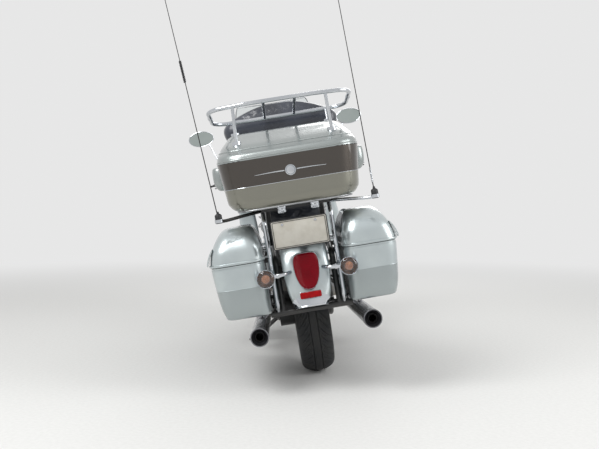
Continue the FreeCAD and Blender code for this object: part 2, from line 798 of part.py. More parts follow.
def bag_lid(side):
    """Domed lid of a saddlebag, with its seam lip."""
    low = bag_seam + seam_clearance
    rows = [
        (low, bag_rear_x, bag_front_x, side * bag_inner_y, side * bag_outer_y, 58),
        (low + 60, bag_rear_x + 4, bag_front_x - 30, side * (bag_inner_y + 2), side * (bag_outer_y - 10), 60),
        (low + 118, bag_rear_x + 40, bag_front_x - 120, side * (bag_inner_y + 18), side * 362, 55),
        (low + 156, bag_rear_x + 110, bag_front_x - 240, side * (bag_inner_y + 36), side * 322, 36),
    ]
    lid = fused([cover(rows, bag_wall), *bag_hinge(side, 40, hinge_radius)])
    for barrel in bag_hinge(side, 0, hinge_radius + hinge_clearance):
        lid = lid.cut(barrel)
    return lid


def bag_guards():
    """Chrome loops in front of the saddlebags."""
    def make(side):
        loop = tube(mirrored([(40, 168, 388), (46, 250, 388), (46, 398, 400), (46, 404, 560), (46, 300, 606),
                              (46, 125, 640)], side), 11, 45)
        return loop.cut(frame_shape)
    return both_sides(make)


def trunk_rows():
    """Trunk body rows: z, x0, x1, y0, y1, corner radius."""
    return [
        (trunk_bottom, trunk_rear_x + 30, trunk_front_x - 34, -240, 240, 78),
        (trunk_bottom + 18, trunk_rear_x + 15, trunk_front_x - 19, -266, 266, 90),
        (trunk_bottom + 45, trunk_rear_x + 7, trunk_front_x - 9, -285, 285, 100),
        (trunk_seam, trunk_rear_x, trunk_front_x, -trunk_half_width, trunk_half_width, 112),
    ]


def trunk_shell():
    """Trunk body with the speaker pods on its sides."""
    body = tub(trunk_rows(), trunk_wall)
    inside = loft_z(inset_z(trunk_rows(), trunk_wall, trunk_wall), True)
    pods = []
    for _, side in SIDES:
        pods.append(loft_z([
            (935, -400, -190, side * 255, side * 322, 24), (965, -420, -170, side * 255, side * 340, 30),
            (trunk_seam - 3, -415, -175, side * 255, side * 338, 30),
        ], True))
    pods = [pod.cut(inside) for pod in pods]
    shell = fused([body, *pods, *trunk_hinge(60, 100, hinge_radius)])
    for barrel in trunk_hinge(20, 59.5, hinge_radius + hinge_clearance):
        shell = shell.cut(barrel)
    return shell.cut(frame_shape)


lid_low = trunk_seam + seam_clearance
# trunk lid rows: z, x0, x1, y0, y1, corner radius
lid_rows = [
    (lid_low, trunk_rear_x, trunk_front_x, -trunk_half_width, trunk_half_width, 112),
    (lid_low + 30, trunk_rear_x + 12, trunk_front_x - 3, -301, 301, 108),
    (lid_low + 70, trunk_rear_x + 84, trunk_front_x - 10, -281, 281, 92),
    (lid_low + 130, trunk_rear_x + 250, trunk_front_x - 26, -238, 238, 64),
]


def trunk_lid():
    """Domed trunk lid."""
    lid = fused([cover(lid_rows, trunk_wall), *trunk_hinge(20, 59.5, hinge_radius)])
    for barrel in trunk_hinge(60, 100, hinge_radius + hinge_clearance):
        lid = lid.cut(barrel)
    return lid


def luggage_rack():
    """Rack of round bars on flanged posts."""
    r = rack_bar_radius
    rear_x, rear_z, front_x, front_z = -548, 1282, -235, 1237
    seam_x, seam_z = -389, 1258
    seam_rise = 20 / 142
    rear = tube([(seam_x, 308, seam_z), (-531, 309, seam_z + 20), (rear_x, 150, rear_z),
                 (rear_x, -150, rear_z), (-531, -309, seam_z + 20), (seam_x, -308, seam_z)], r, 70)
    front = tube([(seam_x, 308, seam_z), (-247, 307, seam_z - 20), (front_x, 150, front_z),
                  (front_x, -150, front_z), (-247, -307, seam_z - 20), (seam_x, -308, seam_z)], r, 70)
    # short sleeves over the two seams of the loop
    reach = 14
    sleeves = [rod((seam_x - reach, y, seam_z + reach * seam_rise),
                   (seam_x + reach, y, seam_z - reach * seam_rise), r + 1.5) for y in (-308, 308)]
    pieces = [rear, front, *sleeves]
    for y in (-68, 68):
        pieces.append(rod((rear_x, y, rear_z), (front_x, y, front_z), r - 2))
    # post columns: top on the bar (x, y, z), foot on the lid (x, y, z)
    posts = [((-543, 200, rear_z - 1), (-500, 208, 1100)), ((-240, 215, front_z), (-292, 212, 1152))]
    foot_height = 32
    for _, side in SIDES:
        for (tx, ty, tz), (fx, fy, fz) in posts:
            pieces.append(rod((tx, side * ty, tz), (fx, side * fy, fz), r - 2))
            pieces.append(rod((fx, side * fy, fz), (fx, side * fy, fz + foot_height), 20))
    rack = fused(pieces)
    return rack.cut(lid_filled)


def backrest():
    """Passenger's backrest pad on the front of the lid."""
    pad = loft_z([
        (lid_low + 10, -186, -92, -190, 190, 40), (1150, -196, -88, -262, 262, 50),
        (1235, -186, -96, -284, 284, 44), (1285, -172, -110, -215, 215, 30),
        (1318, -160, -120, -140, 140, 18),
    ], True)
    whole = pad.cut(lid_filled).cut(rack_shape)
    return max(whole.Solids, key=lambda solid: solid.Volume)


def antennas():
    """Two whips on bases, held by short arms from the trunk's carrier."""
    # antenna columns: side, base y, base bottom z, whip end (x, y, z), sleeve from z, sleeve to z, radius
    rows = [
        (1, 330, 800, (-640, 407, 1880), 1400, 1490, 7.0),
        (-1, 334, 800, (-640, 300, 1880), 868, 930, 5.0),
    ]
    pieces = []
    for side, base_y, base_z, end, sleeve_0, sleeve_1, sleeve_radius in rows:
        x = -607
        foot = V(x, side * base_y, base_z)
        top = V(end[0], side * end[1], end[2])
        direction = (top - foot).normalize()
        base = rod(tuple(foot), (x, side * base_y, base_z + 42), 15)
        whip = Part.makeCylinder(2.2, (top - foot).Length, foot, direction)
        per_z = 1 / direction.z
        low = foot + direction * ((sleeve_0 - base_z) * per_z)
        high = foot + direction * ((sleeve_1 - base_z) * per_z)
        sleeve = rod(tuple(low), tuple(high), sleeve_radius)
        arm = tube([(x, side * base_y, base_z + 10), (x + 4, side * 300, base_z + 8),
                    (-540, side * 215, base_z + 16), (-470, side * 140, base_z + 21)], 7, 30)
        whole = fused([base, whip, sleeve, arm])
        whole = whole.cut(frame_shape).cut(trunk_filled).cut(rails_shape)
        pieces.append(max(whole.Solids, key=lambda solid: solid.Volume))
    return Part.makeCompound(pieces)


# fairing and front

# fairing rows: x, half width, z0, z1, corner radius
fairing_rows = [
    (wheelbase - 293, 340, 800, 1095, 62),
    (wheelbase - 145, 290, 800, 1095, 62),
    (wheelbase - 55, 225, 815, 1048, 60),
    (wheelbase - 5, 190, 838, 1006, 50),
]
fairing_wall = 5.0
headlamp = (90.0, 922.0, 74.0)
fork_tunnel_radius = 165.0


def fairing_inside():
    """The fairing's hollow, open to the rear."""
    inner = []
    for x, half, z0, z1, radius in fairing_rows:
        w = fairing_wall
        inner.append((x - w, half - w, z0 + w, z1 - w, radius - w))
    return loft_x(inner, True)


def lamp_rods(radius_extra):
    """Cylinders of the head lamps and front signals."""
    y, z, radius = headlamp
    rods = []
    for _, side in SIDES:
        for start, length, lamp_radius in (
            ((-105, side * y, z), 116, radius), ((-145, side * 232, 858), 84, 30)
        ):
            rods.append(Part.makeCylinder(lamp_radius + radius_extra, length, V(*nose(start)), V(1, 0, 0)))
    return rods


def fairing():
    """Hollow fairing, open behind and where the fork passes."""
    shell = loft_x(fairing_rows, True).cut(fairing_inside())
    tunnel = steered(rod((0, 0, 650), (0, 0, upper_clamp_at + 45), fork_tunnel_radius))
    shell = shell.cut(tunnel)
    for lamp in lamp_rods(0):
        shell = shell.cut(lamp)
    return max(shell.Solids, key=lambda solid: solid.Volume)


def front_lamps():
    """Twin head lamps and the front signals."""
    return Part.makeCompound(lamp_rods(0))


def dash():
    """Instrument panel across the fairing, with its bracket to the steering head."""
    slab = box(wheelbase - 197, wheelbase - 181, -400, 400, 960, 1200).common(fairing_inside())
    gauges = []
    for y, radius in ((-110, 42), (0, 58), (110, 42)):
        gauges.append(Part.makeCylinder(radius, 26, V(*nose((-221, y, 1030))), V(1, 0, 0)))
    return fused([slab, *gauges])


def fairing_bracket():
    """Bracket ahead of the steering head, between the fork legs, that carries the fairing."""
    arm = steered(box(20, 215, -18, 18, 900, 930))
    crossbar = rod(nose((-122, -290, 905)), nose((-122, 290, 905)), 9)
    crossbar = crossbar.common(fairing_inside())
    return [arm, crossbar]


def windscreen():
    """Clear screen, curved across, standing on the fairing."""
    thickness = 4.0
    # screen rows: z, centre and side x from the front axle, half width
    rows = [(1095, -157, -253, 262), (1270, -353, -433, 252), (1442, -555, -609, 214)]
    wires = []
    for z, centre, edge, half in rows:
        centre += wheelbase
        edge += wheelbase
        front = Part.Arc(V(edge, -half, z), V(centre, 0, z), V(edge, half, z)).toShape()
        back = Part.Arc(
            V(edge - thickness, half, z), V(centre - thickness, 0, z), V(edge - thickness, -half, z)
        ).toShape()
        left = Part.makeLine(V(edge, half, z), V(edge - thickness, half, z))
        right = Part.makeLine(V(edge - thickness, -half, z), V(edge, -half, z))
        wires.append(Part.Wire([front, left, back, right]))
    return Part.makeLoft(wires, True, True)


def lower_cowls():
    """Painted cowls below the fairing, ahead of the rider's legs."""
    def make(side):
        # cowl rows: z, rear and front x from the front axle, inner y, outer y, corner radius
        rows = [(520, -493, -415, 205, 300, 22), (660, -437, -333, 205, 325, 26),
                (800, -289, -205, 215, 318, 26)]
        cowl = loft_z([
            (z, wheelbase + x0, wheelbase + x1, side * y0, side * y1, corner)
            for z, x0, x1, y0, y1, corner in rows
        ], True)
        return cowl.cut(frame_shape)
    return both_sides(make)


def engine_guards():
    """Chrome guard loops at the down tubes."""
    def make(side):
        loop = tube(mirrored([(1208, 96, 470), (1236, 170, 470), (1232, 400, 466), (1206, 408, 300),
                              (1196, 200, 276), (1160, 116, 276)], side), 14, 60)
        return loop.cut(frame_shape).cut(radiator_shape)
    return both_sides(make)


def floorboards():
    """Rider's and passenger's floorboards, with pedals, on arms from the frame."""
    pieces = []
    for _, side in SIDES:
        board = loft_z([(z, 770, 1120, side * 256, side * 362, 40) for z in (284, 296)], True)
        arms = []
        for x in (965, 1075):
            arms.append(tube(mirrored([(x, 130, 180), (x, 200, 180), (x, 290, 190), (x, 300, 290)], side),
                             9, 30))
        pedal = tube(mirrored([(1068, 270, 290), (1090, 268, 330), (1150, 262, 372), (1150, 340, 380)],
                              side), 8, 16)
        pieces.append(fused([board, *arms, pedal]).cut(frame_shape).cut(block_shape))
        rear_board = loft_z([(z, 330, 545, side * 262, side * 352, 34) for z in (376, 387)], True)
        rear_arm = rod((436, side * 130, 400), (436, side * 290, 382), 9)
        pieces.append(fused([rear_board, rear_arm]).cut(frame_shape))
    return Part.makeCompound(pieces)


def side_covers():
    """Painted covers below the seat, on bosses from the frame."""
    def make(side):
        panel = loft_z([
            (455, 380, 560, side * 172, side * 180, 3), (640, 350, 590, side * 172, side * 180, 3),
        ], True)
        boss = rod((409, side * 126, 600), (409, side * 173, 600), 9)
        lower_boss = rod((428, side * 129, 480), (428, side * 173, 480), 9)
        return fused([panel, boss, lower_boss]).cut(frame_shape)
    return both_sides(make)


# side stand

def side_stand():
    """Leg on its pivot, with a foot that lies flat on the ground when the machine leans."""
    px, py, pz = stand_pivot
    fx, fy = stand_foot
    foot_z = (fy * math.sin(lean) - lift) / math.cos(lean)
    up = V(0, -math.sin(lean), math.cos(lean))
    foot_low = V(fx, fy, foot_z)
    foot = Part.makeCylinder(stand_foot_radius, stand_foot_thickness, foot_low, up)
    ankle = foot_low + up * (stand_foot_thickness / 2)
    leg = rod((px, py, pz), tuple(ankle), stand_leg_radius)
    leg = leg.cut(along_hinge(stand_eye_half, 60, 60)).cut(along_hinge(-60, -stand_eye_half, 24))
    eye = along_hinge(-stand_eye_half, stand_eye_half, stand_eye_radius)
    stand = fused([leg, eye, foot])
    below = Part.makeCylinder(90, 60, foot_low - up * 60, up)
    return stand.cut(below).cut(along_hinge(-60, 60, stand_pin_radius + running_clearance))


frame_shape = fused([frame_tubes(), *fairing_bracket()])
tank_shape = fuel_tank()
block_shape = engine_block()
cylinders_shape = engine_cylinders()
covers_shape = engine_covers()
radiator_shape = radiator()
fender_filled = fender_solid(0)
tail_lamp_shape = tail_lamp()
rails_shape = rear_rails()
trunk_filled = loft_z(trunk_rows(), True)
lid_filled = loft_z(lid_rows, True)
rack_shape = luggage_rack()
handlebar_shape = handlebar()
grips_shape = grips()

pieces = {
    "frame_tubes": frame_shape,
    "engine_block": block_shape,
    "engine_cylinders": cylinders_shape,
    "engine_covers": covers_shape,
    "radiator": radiator_shape,
    "exhaust_left": exhaust(1),
    "exhaust_right": exhaust(-1),
    "swingarm": swingarm(),
    "rear_fender": rear_fender(),
    "tail_lamp": tail_lamp_shape,
    "rear_signals": rear_signals(),
    "plate": plate(),
    "rear_rails": rails_shape,
    "bag_left": bag(1),
    "bag_right": bag(-1),
    "bag_guards": bag_guards(),
    "trunk_shell": trunk_shell(),
    "antennas": antennas(),
    "seat_pad": seat(),
    "fuel_tank": tank_shape,
    "side_covers": side_covers(),
    "fairing": fairing(),
    "windscreen": windscreen(),
    "front_lamps": front_lamps(),
    "dash": dash(),
    "lower_cowls": lower_cowls(),
    "engine_guards": engine_guards(),
    "floorboards": floorboards(),
    "fork_legs": fork_legs(),
    "front_fender": front_fender(),
    "handlebar": handlebar_shape,
    "grips": grips_shape,
    "mirrors": mirrors(),
    "front_tyre": tyre(front_axle, front_tyre_radius, front_tyre_width, front_rim_radius),
    "front_rim": rim(front_axle, front_rim_radius, front_tyre_width),
    "front_discs": both_sides(lambda side: disc(front_axle, front_disc_radius, side)),
    "rear_tyre": tyre(rear_axle, rear_tyre_radius, rear_tyre_width, rear_rim_radius),
    "rear_rim": rim(rear_axle, rear_rim_radius, rear_tyre_width),
    "rear_disc": disc(rear_axle, rear_disc_radius, -1),
    "side_stand": side_stand(),
    "trunk_lid": trunk_lid(),
    "luggage_rack": rack_shape,
    "backrest": backrest(),
    "bag_lid_left": bag_lid(1),
    "bag_lid_right": bag_lid(-1),
}

bounds = FreeCAD.BoundBox()
for name, shape in pieces.items():
    written = write(name, shape)
    bounds.add(written.BoundBox)
    print(name, len(written.Solids), "solids", written.isValid(), round(written.Volume / 1e6, 3), "litres")
print("bounds", bounds)
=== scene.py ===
import math

import bmesh
import bpy
from mathutils import Matrix, Vector

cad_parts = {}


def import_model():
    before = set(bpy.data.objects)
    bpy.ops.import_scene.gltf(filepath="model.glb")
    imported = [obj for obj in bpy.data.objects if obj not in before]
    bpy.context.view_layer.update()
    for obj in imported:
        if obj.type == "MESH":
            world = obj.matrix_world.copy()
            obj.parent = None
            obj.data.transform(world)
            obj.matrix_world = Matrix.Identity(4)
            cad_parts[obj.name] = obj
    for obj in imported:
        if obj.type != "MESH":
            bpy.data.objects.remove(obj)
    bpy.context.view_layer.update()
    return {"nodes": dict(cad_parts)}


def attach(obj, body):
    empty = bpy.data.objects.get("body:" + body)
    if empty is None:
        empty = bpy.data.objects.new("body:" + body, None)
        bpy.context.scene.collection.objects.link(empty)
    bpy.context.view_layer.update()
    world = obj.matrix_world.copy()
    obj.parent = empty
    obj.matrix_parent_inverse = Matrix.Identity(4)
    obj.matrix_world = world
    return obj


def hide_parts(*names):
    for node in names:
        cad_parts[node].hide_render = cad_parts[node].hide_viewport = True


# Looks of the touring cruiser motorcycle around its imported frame.
# Shapes are drawn on the upright machine, as in the part's source: X forward from the rear axle,
# Y to the left, Z up from the ground, in millimetres. place() leans them into the row frame.

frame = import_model()
nodes = frame["nodes"]
scene = bpy.context.scene

LEAN = math.radians(9.23)
ORIGIN = (-0.6946, -0.1903, 0.001554)
BIKE = Matrix.Translation(ORIGIN) @ Matrix.Rotation(-LEAN, 4, "X")
SIDES = (("left", 1), ("right", -1))
AHEAD, BEHIND, ACROSS, UP = (1, 0, 0), (-1, 0, 0), (0, 1, 0), (0, 0, 1)
RAKE = math.radians(29.25)
STEER_FOOT_X = 1852
REAR_AXLE = (0.0, 0.0, 325.0)
FRONT_AXLE = (1705.0, 0.0, 323.0)


def place(x, y, z):
    """Row-frame point of a point on the upright machine."""
    return BIKE @ Vector((x * 0.001, y * 0.001, z * 0.001))


def rgb(red, green, blue):
    """Linear colour of display values from 0 to 255."""
    parts = []
    for value in (red, green, blue):
        v = value / 255
        parts.append(v / 12.92 if v <= 0.04045 else ((v + 0.055) / 1.055) ** 2.4)
    return (*parts, 1.0)


# materials

def fill(tree, socket, value):
    """Link a socket to another one, or set its value."""
    if isinstance(value, bpy.types.NodeSocket):
        tree.links.new(value, socket)
    else:
        socket.default_value = value


def add(tree, kind, *values, settings=None, **inputs):
    """New shader node. Values fill its first sockets in order, inputs fill sockets by name."""
    node = tree.nodes.new("ShaderNode" + kind)
    for name, value in (settings or {}).items():
        setattr(node, name, value)
    for socket, value in zip(node.inputs, values):
        fill(tree, socket, value)
    for name, value in inputs.items():
        fill(tree, node.inputs[name.replace("_", " ")], value)
    return node


def worked(tree, operation, *values, kind="Math"):
    """Socket with the result of an operation on numbers, vectors or sockets."""
    node = add(tree, kind, *values, settings={"operation": operation})
    return node.outputs["Value" if kind == "Math" or operation == "LENGTH" else "Vector"]


def blend_colour(tree, factor, first, second):
    """Mix of two colours or colour sockets by a factor socket."""
    node = add(tree, "Mix", factor, settings={"data_type": "RGBA"})
    fill(tree, node.inputs[6], first)
    fill(tree, node.inputs[7], second)
    return node.outputs[2]


def band(tree, value, low, high):
    """Smooth step of a value socket from 0 at low to 1 at high."""
    smooth = {"interpolation_type": "SMOOTHSTEP"}
    return add(tree, "MapRange", settings=smooth, Value=value, From_Min=low, From_Max=high).outputs["Result"]


def object_point(tree):
    """Position on the object, in metres."""
    return tree.nodes.new("ShaderNodeTexCoord").outputs["Object"]


def bike_coordinates(tree):
    """Position on the upright machine, in metres, as a vector and as its split numbers."""
    back = {"vector_type": "TEXTURE"}
    turned = add(tree, "Mapping", settings=back, Vector=object_point(tree), Location=ORIGIN,
                 Rotation=(-LEAN, 0, 0)).outputs["Vector"]
    return turned, add(tree, "SeparateXYZ", turned)


def surface(name, colour, second, rough, metallic=0.0, blotch=7.0, grain=500.0, bump=0.05, tone=None, **more):
    """Material with a cloudy change of colour and roughness and a fine bump.

    blotch and grain are the scales of the two noises, and more holds the shader's other sockets.
    tone, where given, takes the tree, the base colour and the cloud and returns the final colour.
    """
    material = bpy.data.materials.new(name)
    material.use_nodes = True
    tree = material.node_tree
    spot = object_point(tree)
    cloud = add(tree, "TexNoise", Vector=spot, Scale=blotch, Detail=4.0).outputs[0]
    fine = add(tree, "TexNoise", Vector=spot, Scale=grain, Detail=2.0).outputs[0]
    base = blend_colour(tree, band(tree, cloud, 0.35, 0.65), rgb(*colour), rgb(*second))
    if tone:
        base = tone(tree, base, cloud)
    spread = add(tree, "MapRange", Value=cloud, To_Min=rough[0], To_Max=rough[1])
    relief = add(tree, "Bump", Strength=bump, Distance=0.001, Height=fine)
    more.update(Base_Color=base, Roughness=spread.outputs["Result"], Normal=relief.outputs["Normal"],
                Metallic=metallic)
    shader = tree.nodes["Principled BSDF"]
    for socket, value in more.items():
        fill(tree, shader.inputs[socket.replace("_", " ")], value)
    return material


def height_band(tree, low, high):
    """Smooth step of the height on the upright machine."""
    return band(tree, bike_coordinates(tree)[1].outputs["Z"], low, high)


def dusty(low, high, dust=(120, 112, 98)):
    """Tone that lays road dust on what is lower than a height, in metres."""
    def tone(tree, base, cloud):
        patch = worked(tree, "MULTIPLY", height_band(tree, high, low), band(tree, cloud, 0.3, 0.8))
        return blend_colour(tree, patch, base, rgb(*dust))
    return tone


def lower_tone(height, other):
    """Tone that changes to another paint below a height, in metres."""
    def tone(tree, base, cloud):
        return blend_colour(tree, height_band(tree, height, height - 0.002), base, rgb(*other))
    return tone


def middle_tone(low, high, other, below):
    """Tone for the trunk: one paint below, a darker band between two heights."""
    def tone(tree, base, cloud):
        banded = blend_colour(tree, height_band(tree, low - 0.001, low + 0.001), rgb(*below), rgb(*other))
        return blend_colour(tree, height_band(tree, high - 0.001, high + 0.001), banded, base)
    return tone


def clear(name, colour, rough, ior):
    """Clear plastic or glass with faint wipe marks."""
    return surface(name, colour, colour, rough, blotch=3.0, grain=40.0, bump=0.02, Transmission_Weight=1.0,
                   IOR=ior)


def muffler_axis(side):
    """Middle of a muffler's rear tip and the direction forwards along it."""
    tip = Vector((-618, side * 242, 301))
    return tip, (Vector((440, side * 232, 262)) - tip).normalized()


def exhaust_material(name, side):
    """Chrome outside; near-black inside the muffler, partly soot and partly painted shade of the deep bore,
    by the distance from its axis.
    """
    tip, axis = muffler_axis(side)

    def tone(tree, base, cloud):
        position, split = bike_coordinates(tree)
        offset = worked(tree, "SUBTRACT", position, tip * 0.001, kind="VectorMath")
        across = worked(tree, "CROSS_PRODUCT", offset, axis, kind="VectorMath")
        reach = worked(tree, "LENGTH", across, kind="VectorMath")
        rear = band(tree, split.outputs["X"], -0.40, -0.42)
        soot_and_shade = worked(tree, "MULTIPLY", band(tree, reach, 0.0362, 0.0352), rear)
        # near-black in the bore: partly soot, partly painted shade of the deep hole
        return blend_colour(tree, soot_and_shade, base, rgb(30, 29, 29))
    return surface(name, (146, 147, 152), (108, 108, 112), (0.14, 0.3), metallic=0.9, blotch=12.0, bump=0.03,
                   tone=tone)


SILVER = ((190, 199, 200), (181, 190, 192), (0.28, 0.36))
# darker copy of the silver for the trunk lid, the trunk's top and the speaker pods: painted shade
SHADED_SILVER = ((154, 161, 160), (152, 158, 157), (0.28, 0.36))
GREY_PAINT = (158, 166, 167)
CHAMPAGNE = (128, 127, 116)
TAUPE = (66, 60, 54)

PAINT = dict(metallic=0.8, grain=2600.0, bump=0.03, Coat_Weight=1.0, Coat_Roughness=0.04)
body_paint = surface("body_paint", *SILVER, tone=dusty(0.3, 0.62), **PAINT)
bag_paint = surface("bag_paint", *SILVER, tone=lower_tone(0.512, GREY_PAINT), **PAINT)
trunk_paint = surface("trunk_paint", *SHADED_SILVER, tone=middle_tone(0.932, 1.0432, TAUPE, CHAMPAGNE), **PAINT)
shaded_lid_paint = surface("shaded_lid_paint", *SHADED_SILVER, **PAINT)
fender_paint = surface("fender_paint", *SILVER, tone=dusty(0.36, 0.5), **PAINT)
chrome = surface("chrome", (205, 208, 212), (188, 192, 197), (0.05, 0.16), metallic=1.0, grain=900.0,
                 bump=0.01)
alloy = surface("engine_alloy", (120, 122, 124), (92, 93, 94), (0.42, 0.6), metallic=0.85, blotch=18.0,
                grain=700.0, bump=0.25, tone=dusty(0.2, 0.55))
bright_alloy = surface("bright_alloy", (178, 180, 182), (156, 158, 160), (0.25, 0.42), metallic=0.95,
                       blotch=12.0, bump=0.08)
wheel_alloy = surface("wheel_alloy", (158, 160, 162), (128, 129, 130), (0.28, 0.45), metallic=0.9,
                      blotch=16.0, bump=0.1, tone=dusty(0.05, 0.6))
disc_steel = surface("disc_steel", (150, 150, 152), (110, 108, 106), (0.22, 0.45), metallic=1.0, blotch=30.0,
                     grain=1500.0, bump=0.08)
frame_black = surface("frame_black", (22, 23, 25), (34, 34, 35), (0.3, 0.5), blotch=10.0, bump=0.08,
                      tone=dusty(0.1, 0.5, (66, 62, 55)), Coat_Weight=0.4)
black_plastic = surface("black_plastic", (27, 28, 30), (36, 37, 39), (0.42, 0.58), blotch=9.0, grain=1400.0,
                        bump=0.3)
black_steel = surface("black_steel", (30, 31, 33), (46, 45, 43), (0.3, 0.5), metallic=0.6, bump=0.1)
insert_metal = surface("insert_metal", (74, 74, 78), (52, 52, 55), (0.4, 0.6), metallic=0.8, blotch=30.0,
                       bump=0.2)
# mirror glass tinted grey-green: a painted reflection of green surroundings
mirror_glass_painted_reflection = surface("mirror_glass_painted_reflection", (176, 184, 182), (166, 175, 172), (0.02, 0.05), metallic=1.0, bump=0.0)
rubber = surface("rubber", (24, 24, 25), (38, 37, 36), (0.6, 0.78), blotch=20.0, grain=900.0, bump=0.25)
tyre_rubber = surface("tyre_rubber", (25, 27, 30), (40, 40, 40), (0.62, 0.82), blotch=16.0, grain=600.0,
                      bump=0.35)
# black vinyl; the blue tint of both colours is a painted reflection of the sky
vinyl = surface("seat_vinyl", (34, 38, 48), (46, 51, 63), (0.26, 0.4), blotch=8.0, grain=700.0, bump=0.35,
                Sheen_Weight=0.15, Coat_Weight=0.5, Coat_Roughness=0.2)
plate_white = surface("plate_face", (190, 187, 178), (180, 176, 166), (0.35, 0.5), blotch=22.0, bump=0.1)
red_lens = surface("red_lens", (124, 0, 20), (100, 0, 14), (0.1, 0.18), blotch=5.0, bump=0.02,
                   Specular_IOR_Level=0.14)
reflex_red = surface("reflex_red", (160, 6, 14), (138, 4, 12), (0.16, 0.26), blotch=60.0, bump=0.2,
                     Specular_IOR_Level=0.16)
amber = surface("amber_bulb", (196, 128, 84), (170, 104, 66), (0.1, 0.2), blotch=40.0, Coat_Weight=0.6)
dial_black = surface("dial_black", (16, 17, 19), (22, 23, 25), (0.3, 0.4), Coat_Weight=0.8)
dial_white = surface("dial_white", (225, 226, 222), (210, 210, 206), (0.4, 0.5))
screen_glass = clear("screen_glass", (236, 240, 240), (0.01, 0.04), 1.2)
lamp_glass = clear("lamp_glass", (244, 246, 248), (0.02, 0.06), 1.45)


# shapes

def smooth_rows(rows, steps):
    """Rows with steps more between each pair, on a smooth curve through all of them."""
    out = []
    for i in range(len(rows) - 1):
        before = rows[max(i - 1, 0)]
        after = rows[min(i + 2, len(rows) - 1)]
        for k in range(steps):
            t = k / steps
            row = []
            for a, b, c, d in zip(before, rows[i], rows[i + 1], after):
                row.append(0.5 * (2 * b + (c - a) * t + (2 * a - 5 * b + 4 * c - d) * t * t
                                  + (3 * b - a - 3 * c + d) * t ** 3))
            out.append(tuple(row))
    out.append(tuple(rows[-1]))
    return out


def loop(a0, a1, b0, b1, radius, corner=7, side=5):
    """Points of a rounded rectangle, anticlockwise from the middle of its corners."""
    a0, a1 = min(a0, a1), max(a0, a1)
    b0, b1 = min(b0, b1), max(b0, b1)
    r = max(0.5, min(radius, 0.49 * (a1 - a0), 0.49 * (b1 - b0)))
    centres = ((a1 - r, b0 + r, -90), (a1 - r, b1 - r, 0), (a0 + r, b1 - r, 90), (a0 + r, b0 + r, 180))
    points = []
    for index, (ca, cb, start) in enumerate(centres):
        for k in range(corner + 1):
            angle = math.radians(start + 90 * k / corner)
            points.append((ca + r * math.cos(angle), cb + r * math.sin(angle)))
        na, nb, nstart = centres[(index + 1) % 4]
        first = points[-1]
        last = (na + r * math.cos(math.radians(nstart)), nb + r * math.sin(math.radians(nstart)))
        for k in range(1, side):
            t = k / side
            points.append((first[0] + (last[0] - first[0]) * t, first[1] + (last[1] - first[1]) * t))
    return points


def circle(radius, count, start=0.0, tall=None):
    """Points evenly round a circle about zero, or round an oval that is taller or lower than it is wide."""
    angles = [math.radians(start + 360 * k / count) for k in range(count)]
    return [(radius * math.cos(angle), (tall or radius) * math.sin(angle)) for angle in angles]


def flat_rings(rows):
    """Rings that lie flat. Rows: z, x0, x1, y0, y1, corner radius."""
    return [[(a, b, z) for a, b in loop(x0, x1, y0, y1, r)] for z, x0, x1, y0, y1, r in rows]


def on_side(side, rows, inner=0.0):
    """Rows on one side of the machine. Columns: z, x0, x1, reach from an inner y, outer y, corner radius."""
    return [(z, x0, x1, side * (inner + y0), side * y1, r) for z, x0, x1, y0, y1, r in rows]


def upright_rings(rows, middle=0.0, corner=7, side=5):
    """Rings that stand across the machine. Rows: x, half width, z0, z1, corner radius."""
    return [[(x, a, b) for a, b in loop(middle - half, middle + half, z0, z1, r, corner, side)]
            for x, half, z0, z1, r in rows]


def skin(rings, closed=False):
    """Points and faces of a surface through rings of equal length, its ends filled unless it is closed."""
    count = len(rings[0])
    points = [p for ring in rings for p in ring]
    faces = []
    for i in range(len(rings) if closed else len(rings) - 1):
        a, b = i * count, ((i + 1) % len(rings)) * count
        for k in range(count):
            n = (k + 1) % count
            faces.append((a + k, a + n, b + n, b + k))
    if not closed:
        start = (len(rings) - 1) * count
        faces += [tuple(range(count - 1, -1, -1)), tuple(range(start, start + count))]
    return points, faces


def merged(parts):
    """One set of points and faces from several."""
    points, faces = [], []
    for more_points, more_faces in parts:
        base = len(points)
        points += more_points
        faces += [tuple(base + i for i in face) for face in more_faces]
    return points, faces


def lathe(profile, centre, axis, count=48, start=0.0, sweep=360.0, shift=None):
    """Surface through (distance, radius) pairs turned about an axis; the profile may be closed."""
    a = Vector(axis).normalized()
    u = Vector((1, 0, 0)) if abs(a.x) < 0.9 else Vector((0, 0, 1))
    u = (u - a * u.dot(a)).normalized()
    v = u.cross(a) if abs(a.x) < 0.9 else a.cross(u)
    c = Vector(centre)
    closed = sweep == 360.0
    steps = count if closed else count + 1
    rings = []
    for along, radius in profile:
        turn = shift(along, radius) if shift else 0.0
        ring = []
        for k in range(steps):
            angle = math.radians(start + sweep * k / count) + turn
            p = c + a * along + (u * math.cos(angle) + v * math.sin(angle)) * radius
            ring.append((p.x, p.y, p.z))
        rings.append(ring)
    points = [p for ring in rings for p in ring]
    faces = []
    for i in range(len(rings) - 1):
        for k in range(steps if closed else steps - 1):
            n = (k + 1) % steps
            faces.append((i * steps + k, i * steps + n, (i + 1) * steps + n, (i + 1) * steps + k))
    return points, faces


def spline(points, steps, closed=False):
    """Points on a smooth curve through the given ones."""
    rows = [tuple(p) for p in points]
    if closed:
        return smooth_rows([rows[-1], *rows, rows[0], rows[1]], steps)[steps:-2 * steps]
    return smooth_rows(rows, steps)


